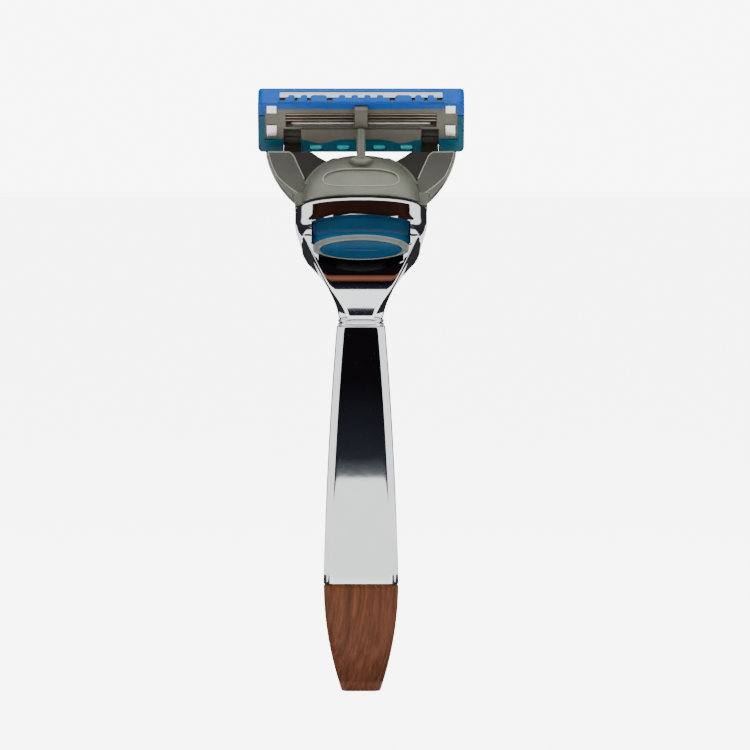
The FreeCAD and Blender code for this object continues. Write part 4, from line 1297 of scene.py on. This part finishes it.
@dataclass
class Cartridge:
    """The blade cartridge: frame, trimmer cap, comb, clips, strip, guard and blades."""

    half: float = 20.8
    back: float = -2.75
    core_back: float = -2.3
    top: float = 6.25

    def build(self) -> None:
        """Make and deliver the cartridge's pieces."""
        body = "cartridge"
        pieces = (("cartridge_housing", softened("cartridge_housing", 0.1), None,
                   "housing_grey", HOUSING_GREY),
                  ("trimmer_cap", self.shaped("trimmer_cap", self.top, 1.3, 1), Frame.CARTRIDGE,
                   "blue_plastic", CAP_BLUE),
                  ("guard", self.shaped("guard", -self.top, 1.7, -1), Frame.CARTRIDGE,
                   "teal_rubber", TEAL_ELASTOMER),
                  ("lubricating_strip", softened("lubricating_strip", 0.12), None,
                   "strip_polymer", SOAP_STRIP),
                  ("clip_left", softened("clip_left", 0.06), None, "aluminium", MILL_ALUMINIUM),
                  ("clip_right", softened("clip_right", 0.06), None, "aluminium", MILL_ALUMINIUM))
        for name, piece, drawn_in, slot, finish in pieces:
            deliver(piece, "cartridge", finish, (name,), drawn_in)
        dress_node("trimmer_blade", TRIMMER_STEEL)
        for number in range(1, 6):
            dress_node(f"blade_{number}", BLADE_STEEL)
            # The supports' steel carries a painted brown reflection in its colour.
            dress_node(f"blade_support_{number}", SUPPORT_STEEL_PAINTED_REFLECTION)
        self.back_plate()
        self.guard_lights()
        self.cap_relief()
        self.comb_tips()
        for number in range(1, 6):
            self.support_lip(number)

    def shaped(self, name: str, height: float, radius: float, above: int) -> Piece:
        """A softened CAD piece with its outer corners rounded off at both ends.

        Args:
            name: the CAD node.
            height: the corners' height.
            radius: their radius.
            above: 1 for upper corners, -1 for lower ones.

        Returns:
            The object, in millimetres, in the cartridge's frame.
        """
        piece = softened(name, 0.0)
        piece.data.transform(Frame.CARTRIDGE.matrix.inverted())
        for side in (-1, 1):
            outline = [(side * (self.half + 1), height + above),
                       (side * (self.half - radius), height + above)]
            outline += [(side * (self.half - radius + radius * math.sin(math.pi / 16 * step)),
                         height - above * radius * (1 - math.cos(math.pi / 16 * step))) for step in range(9)]
            outline.append((side * (self.half + 1), height - above * radius))
            cut(piece, slab("corner", outline, -9.0, 9.0))
        round_edges(piece, 0.09, 2)
        return piece

    def back_plate(self) -> None:
        """The frame's lower back plate, with two shallow lobes along its bottom edge."""
        outline = []
        for x in spaced(-12.0, 12.0, 60):
            lobe = 0.95 * math.exp(-((abs(x) - 8.2) / 2.4) ** 2)
            outline.append((x, -2.7 - lobe))
        outline += [(12.0, -0.25), (-12.0, -0.25)]
        piece = slab("frame_back_plate", outline, self.back - 0.17, self.core_back + 0.1)
        round_edges(piece, 0.1, 2, 40)
        deliver(piece, "cartridge", HOUSING_GREY, (), Frame.CARTRIDGE, 40)

    def guard_lights(self) -> None:
        """The thin membranes in the guard's four ports, painted bright aqua as a glow where light comes
        through.
        """
        parts = []
        for place in (-9.15, -3.65, 3.65, 9.15):
            outline = [(place + x, -4.78 + y) for x, y in superellipse(1.22, 0.55, 4.0, 28)]
            parts.append(slab("port", outline, self.back + 0.12, self.core_back + 0.05))
        piece = join("guard_port_membranes_painted_glow", parts)
        round_edges(piece, 0.08, 2, 40)
        # The membranes' bright colour is a painted glow.
        deliver(piece, "cartridge", AQUA_PAINTED_GLOW, (), Frame.CARTRIDGE, 40)

    def cap_relief(self) -> None:
        """The cap's raised end blocks."""
        parts = []
        for side in (-1, 1):
            outline = [(side * x, z) for x, z in
                       ((16.7, 6.24), (19.5, 6.24), (20.2, 5.9), (20.6, 5.4), (16.7, 5.4))]
            parts.append(slab("end_block", outline, self.back + 0.02, self.back + 0.5))
        piece = join("cap_end_blocks", parts)
        round_edges(piece, 0.12, 2, 30)
        deliver(piece, "cartridge", CAP_BLUE, (), Frame.CARTRIDGE, 40)

    def comb_tips(self) -> None:
        """The comb's bevelled tips, which lap over the trimmer blade's edge."""
        places = [(-8.5, 3.3), (8.5, 3.3)]
        places += [(side * (1.275 + 2.55 * step), 1.3) for step in (0, 1, 4, 5) for side in (-1, 1)]
        parts = []
        for place, width in places:
            half = width / 2
            outline = [(place - half, -2.2), (place + half, -2.2), (place + half, -0.35),
                       (place + half * 0.72, 0.1), (place - half * 0.72, 0.1), (place - half, -0.35)]
            parts.append(slab("tip", outline, 6.08, 6.22, "Z"))
        piece = join("comb_tips", parts)
        round_edges(piece, 0.05, 2, 30)
        deliver(piece, "cartridge", CAP_BLUE, (), Frame.CARTRIDGE, 40)

    def support_lip(self, number: int) -> None:
        """The folded lip along one blade support's back, seen through the frame's back window.

        Args:
            number: the blade's number, from 1 at the guard.
        """
        level = 0.1 if number == 1 else 0.12 + 0.72 * (number - 1)
        tall = 0.34 if number == 1 else 0.36
        for side in (-1, 1):
            low, high = sorted((side * 1.4, side * (15.0 if number > 1 else 13.6)))
            outline = [(low, level), (high, level), (high + 0.5 * (side > 0), level + tall / 2),
                       (high, level + tall), (low, level + tall), (low - 0.5 * (side < 0), level + tall / 2)]
            piece = slab(f"support_lip_{number}_{'left' if side < 0 else 'right'}", outline, -1.5, -0.9)
            round_edges(piece, 0.08, 2, 30)
            # The lips after the first carry the painted brown reflection in their steel's colour.
            finish = TRIMMER_STEEL if number == 1 else SUPPORT_STEEL_PAINTED_REFLECTION
            deliver(piece, f"blade_unit_{number}", finish, (), Frame.CARTRIDGE, 40)


# ---------------------------------------------------------------- studio


@dataclass
class Studio:
    """A lit pale floor, soft light all round, and cards and a mat that only reflections show."""

    distance: float = 1.5
    elevation: float = math.radians(2.3)
    aim: Point = (0.0028, 0.0, 0.0632)
    lens: float = 360.0
    head_height: float = 0.08

    def build(self) -> None:
        """Make the floor, the cards, the mat, the surroundings, the lights and the camera."""
        self.floor()
        self.card("low_card", 0.2, (0.043, 0.15), 0.24,
                  ((0.0, "#6b6f76"), (0.04, "#262a33"), (0.2, "#120e12")))
        self.card("wooden_strip", 0.03, (0.0806, 0.0842), 0.02,
                  ((0.0, "#5d3023"), (0.5, "#9a6450"), (1.0, "#6d3c2c")))
        self.card("high_card", 0.2, (0.285, 0.45), 0.6,
                  ((0.0, "#1c0e0b"), (0.5, "#38201a"), (1.0, "#140a08")))
        self.mat()
        self.surroundings()
        self.light("key_softbox", (-0.3, -0.5, 0.45), (0.3, 0.3), 0.7)
        self.light("fill_softbox", (0.45, -0.3, 0.25), (0.3, 0.4), 0.3)
        self.light("top_softbox", (0.0, 0.1, 0.6), (0.6, 0.4), 4.2)
        self.camera()

    def floor(self) -> None:
        """A wide pale floor: a sheet of opal acrylic, lit from below."""
        bpy.ops.object.select_all(action="DESELECT")
        bpy.ops.mesh.primitive_plane_add(size=12)
        ground = bpy.context.object
        ground.name = "floor"
        made, tree, surface = blank_material("opal_acrylic")
        surface.inputs["Base Color"].default_value = linear("#f4f4f4")
        surface.inputs["Roughness"].default_value = 0.8
        surface.inputs["Emission Color"].default_value = (1, 1, 1, 1)
        path = node(tree, "LightPath").outputs
        near = node(tree, "MapRange", {"To Min": 0.14, "To Max": 1.3},
                    {"Value": path["Is Glossy Ray"]})
        glow = node(tree, "MapRange", {"To Max": 6.5},
                    {"Value": path["Is Camera Ray"], "To Min": near.outputs["Result"]})
        tree.links.new(glow.outputs["Result"], surface.inputs["Emission Strength"])
        ground.data.materials.append(made)

    def card(self, name: str, distance: float, heights: Pair, half: float,
             stops: tuple[tuple[float, str], ...]) -> None:
        """A dark card in front of the razor, seen only in reflections.

        Args:
            name: its name.
            distance: how far in front of the razor it stands.
            heights: its lower and upper edge above the floor.
            half: half its width.
            stops: its tones from the lower edge to the upper one.
        """
        low, high = heights
        made, tree, _ = blank_material(name + "_paper")
        tree.nodes.clear()
        place = node(tree, "TexCoord").outputs["Object"]
        height = node(tree, "SeparateXYZ", links={"Vector": place}).outputs["Z"]
        share = node(tree, "MapRange", {"From Min": low, "From Max": high}, {"Value": height})
        glow = node(tree, "Emission", links={"Color": ramp(tree, share.outputs["Result"], stops)})
        node(tree, "OutputMaterial", links={"Surface": glow.outputs["Emission"]})
        corners = [(-half, low), (half, low), (half, high), (-half, high)]
        self.sheet(name, [(x, -distance, z) for x, z in corners], made)

    def mat(self) -> None:
        """A dark mat on the floor behind the razor, which darkens the edges of the chrome."""
        made, _, surface = blank_material("dark_mat")
        surface.inputs["Base Color"].default_value = linear("#08080a")
        surface.inputs["Roughness"].default_value = 0.9
        corners = [(-0.5, -0.015), (0.5, -0.015), (0.5, 0.6), (-0.5, 0.6)]
        self.sheet("mat", [(x, y, 0.002) for x, y in corners], made)

    def sheet(self, name: str, corners: list[Point], made: bpy.types.Material) -> None:
        """A four-cornered sheet that only mirrors see.

        Args:
            name: the sheet's name.
            corners: its four corners, in metres.
            made: its material.
        """
        bpy.ops.object.select_all(action="DESELECT")
        bpy.ops.mesh.primitive_plane_add(size=1)
        sheet = bpy.context.object
        sheet.name = name
        order = sheet.data.polygons[0].vertices
        for index, place in zip(order, corners):
            sheet.data.vertices[index].co = place
        sheet.data.materials.append(made)
        for ray in ("camera", "diffuse", "shadow", "transmission"):
            setattr(sheet, "visible_" + ray, False)

    def surroundings(self) -> None:
        """White behind the razor for the eye; mirrors see white in front and dark behind it."""
        world = bpy.data.worlds.new("studio")
        bpy.context.scene.world = world
        world.use_nodes = True
        tree = world.node_tree
        tree.nodes.clear()
        path = node(tree, "LightPath").outputs
        place = node(tree, "TexCoord").outputs["Generated"]
        behind = node(tree, "SeparateXYZ", links={"Vector": place}).outputs["Y"]
        share = node(tree, "MapRange", {"From Min": -1.0, "From Max": 1.0}, {"Value": behind})
        tones = ramp(tree, share.outputs["Result"], ((0.0, "#ffffff"), (0.57, "#ffffff"), (0.62, "#25262a"),
                                                     (0.97, "#1b1c20"), (0.99, "#d8d8d8")))
        seen = node(tree, "Background", {"Color": (1, 1, 1, 1), "Strength": 8.0})
        mirrored = node(tree, "Background", {"Strength": 1.7}, {"Color": tones})
        falling = node(tree, "Background", {"Color": (1, 1, 1, 1), "Strength": 0.26})
        near = node(tree, "MixShader",
                    links={0: path["Is Glossy Ray"], 1: falling.outputs[0], 2: mirrored.outputs[0]})
        both = node(tree, "MixShader",
                    links={0: path["Is Camera Ray"], 1: near.outputs[0], 2: seen.outputs[0]})
        node(tree, "OutputWorld", links={"Surface": both.outputs[0]})

    def light(self, name: str, place: Point, extent: Pair, power: float) -> None:
        """A soft rectangular light aimed at the head.

        Args:
            name: the lamp's name.
            place: where it stands, in metres.
            extent: its width and height, in metres.
            power: its power in watts.
        """
        data = bpy.data.lights.new(name, "AREA")
        data.shape = "RECTANGLE"
        data.size, data.size_y = extent
        data.energy = power
        lamp = bpy.data.objects.new(name, data)
        bpy.context.scene.collection.objects.link(lamp)
        lamp.location = place
        aim = Vector((0, 0, self.head_height)) - Vector(place)
        lamp.rotation_euler = aim.to_track_quat("-Z", "Y").to_euler()
        lamp.visible_glossy = False

    def camera(self) -> None:
        """A long lens straight in front, a little above the handle's middle."""
        data = bpy.data.cameras.new("camera")
        data.lens = self.lens
        data.sensor_width = 36
        eye = bpy.data.objects.new("camera", data)
        bpy.context.scene.collection.objects.link(eye)
        aim = Vector(self.aim)
        eye.location = aim + Vector((0, -math.cos(self.elevation), math.sin(self.elevation))) * self.distance
        eye.rotation_euler = (aim - eye.location).to_track_quat("-Z", "Y").to_euler()
        bpy.context.scene.camera = eye


def main() -> None:
    """Build every sub-assembly in order, then the studio."""
    logging.basicConfig(level=logging.INFO, format="%(name)s: %(message)s")
    for assembly in (Handle(), Head(), ThumbButton(), Plunger(), Yoke(), Cartridge(), Studio()):
        assembly.build()


if __name__ == "__main__":
    main()
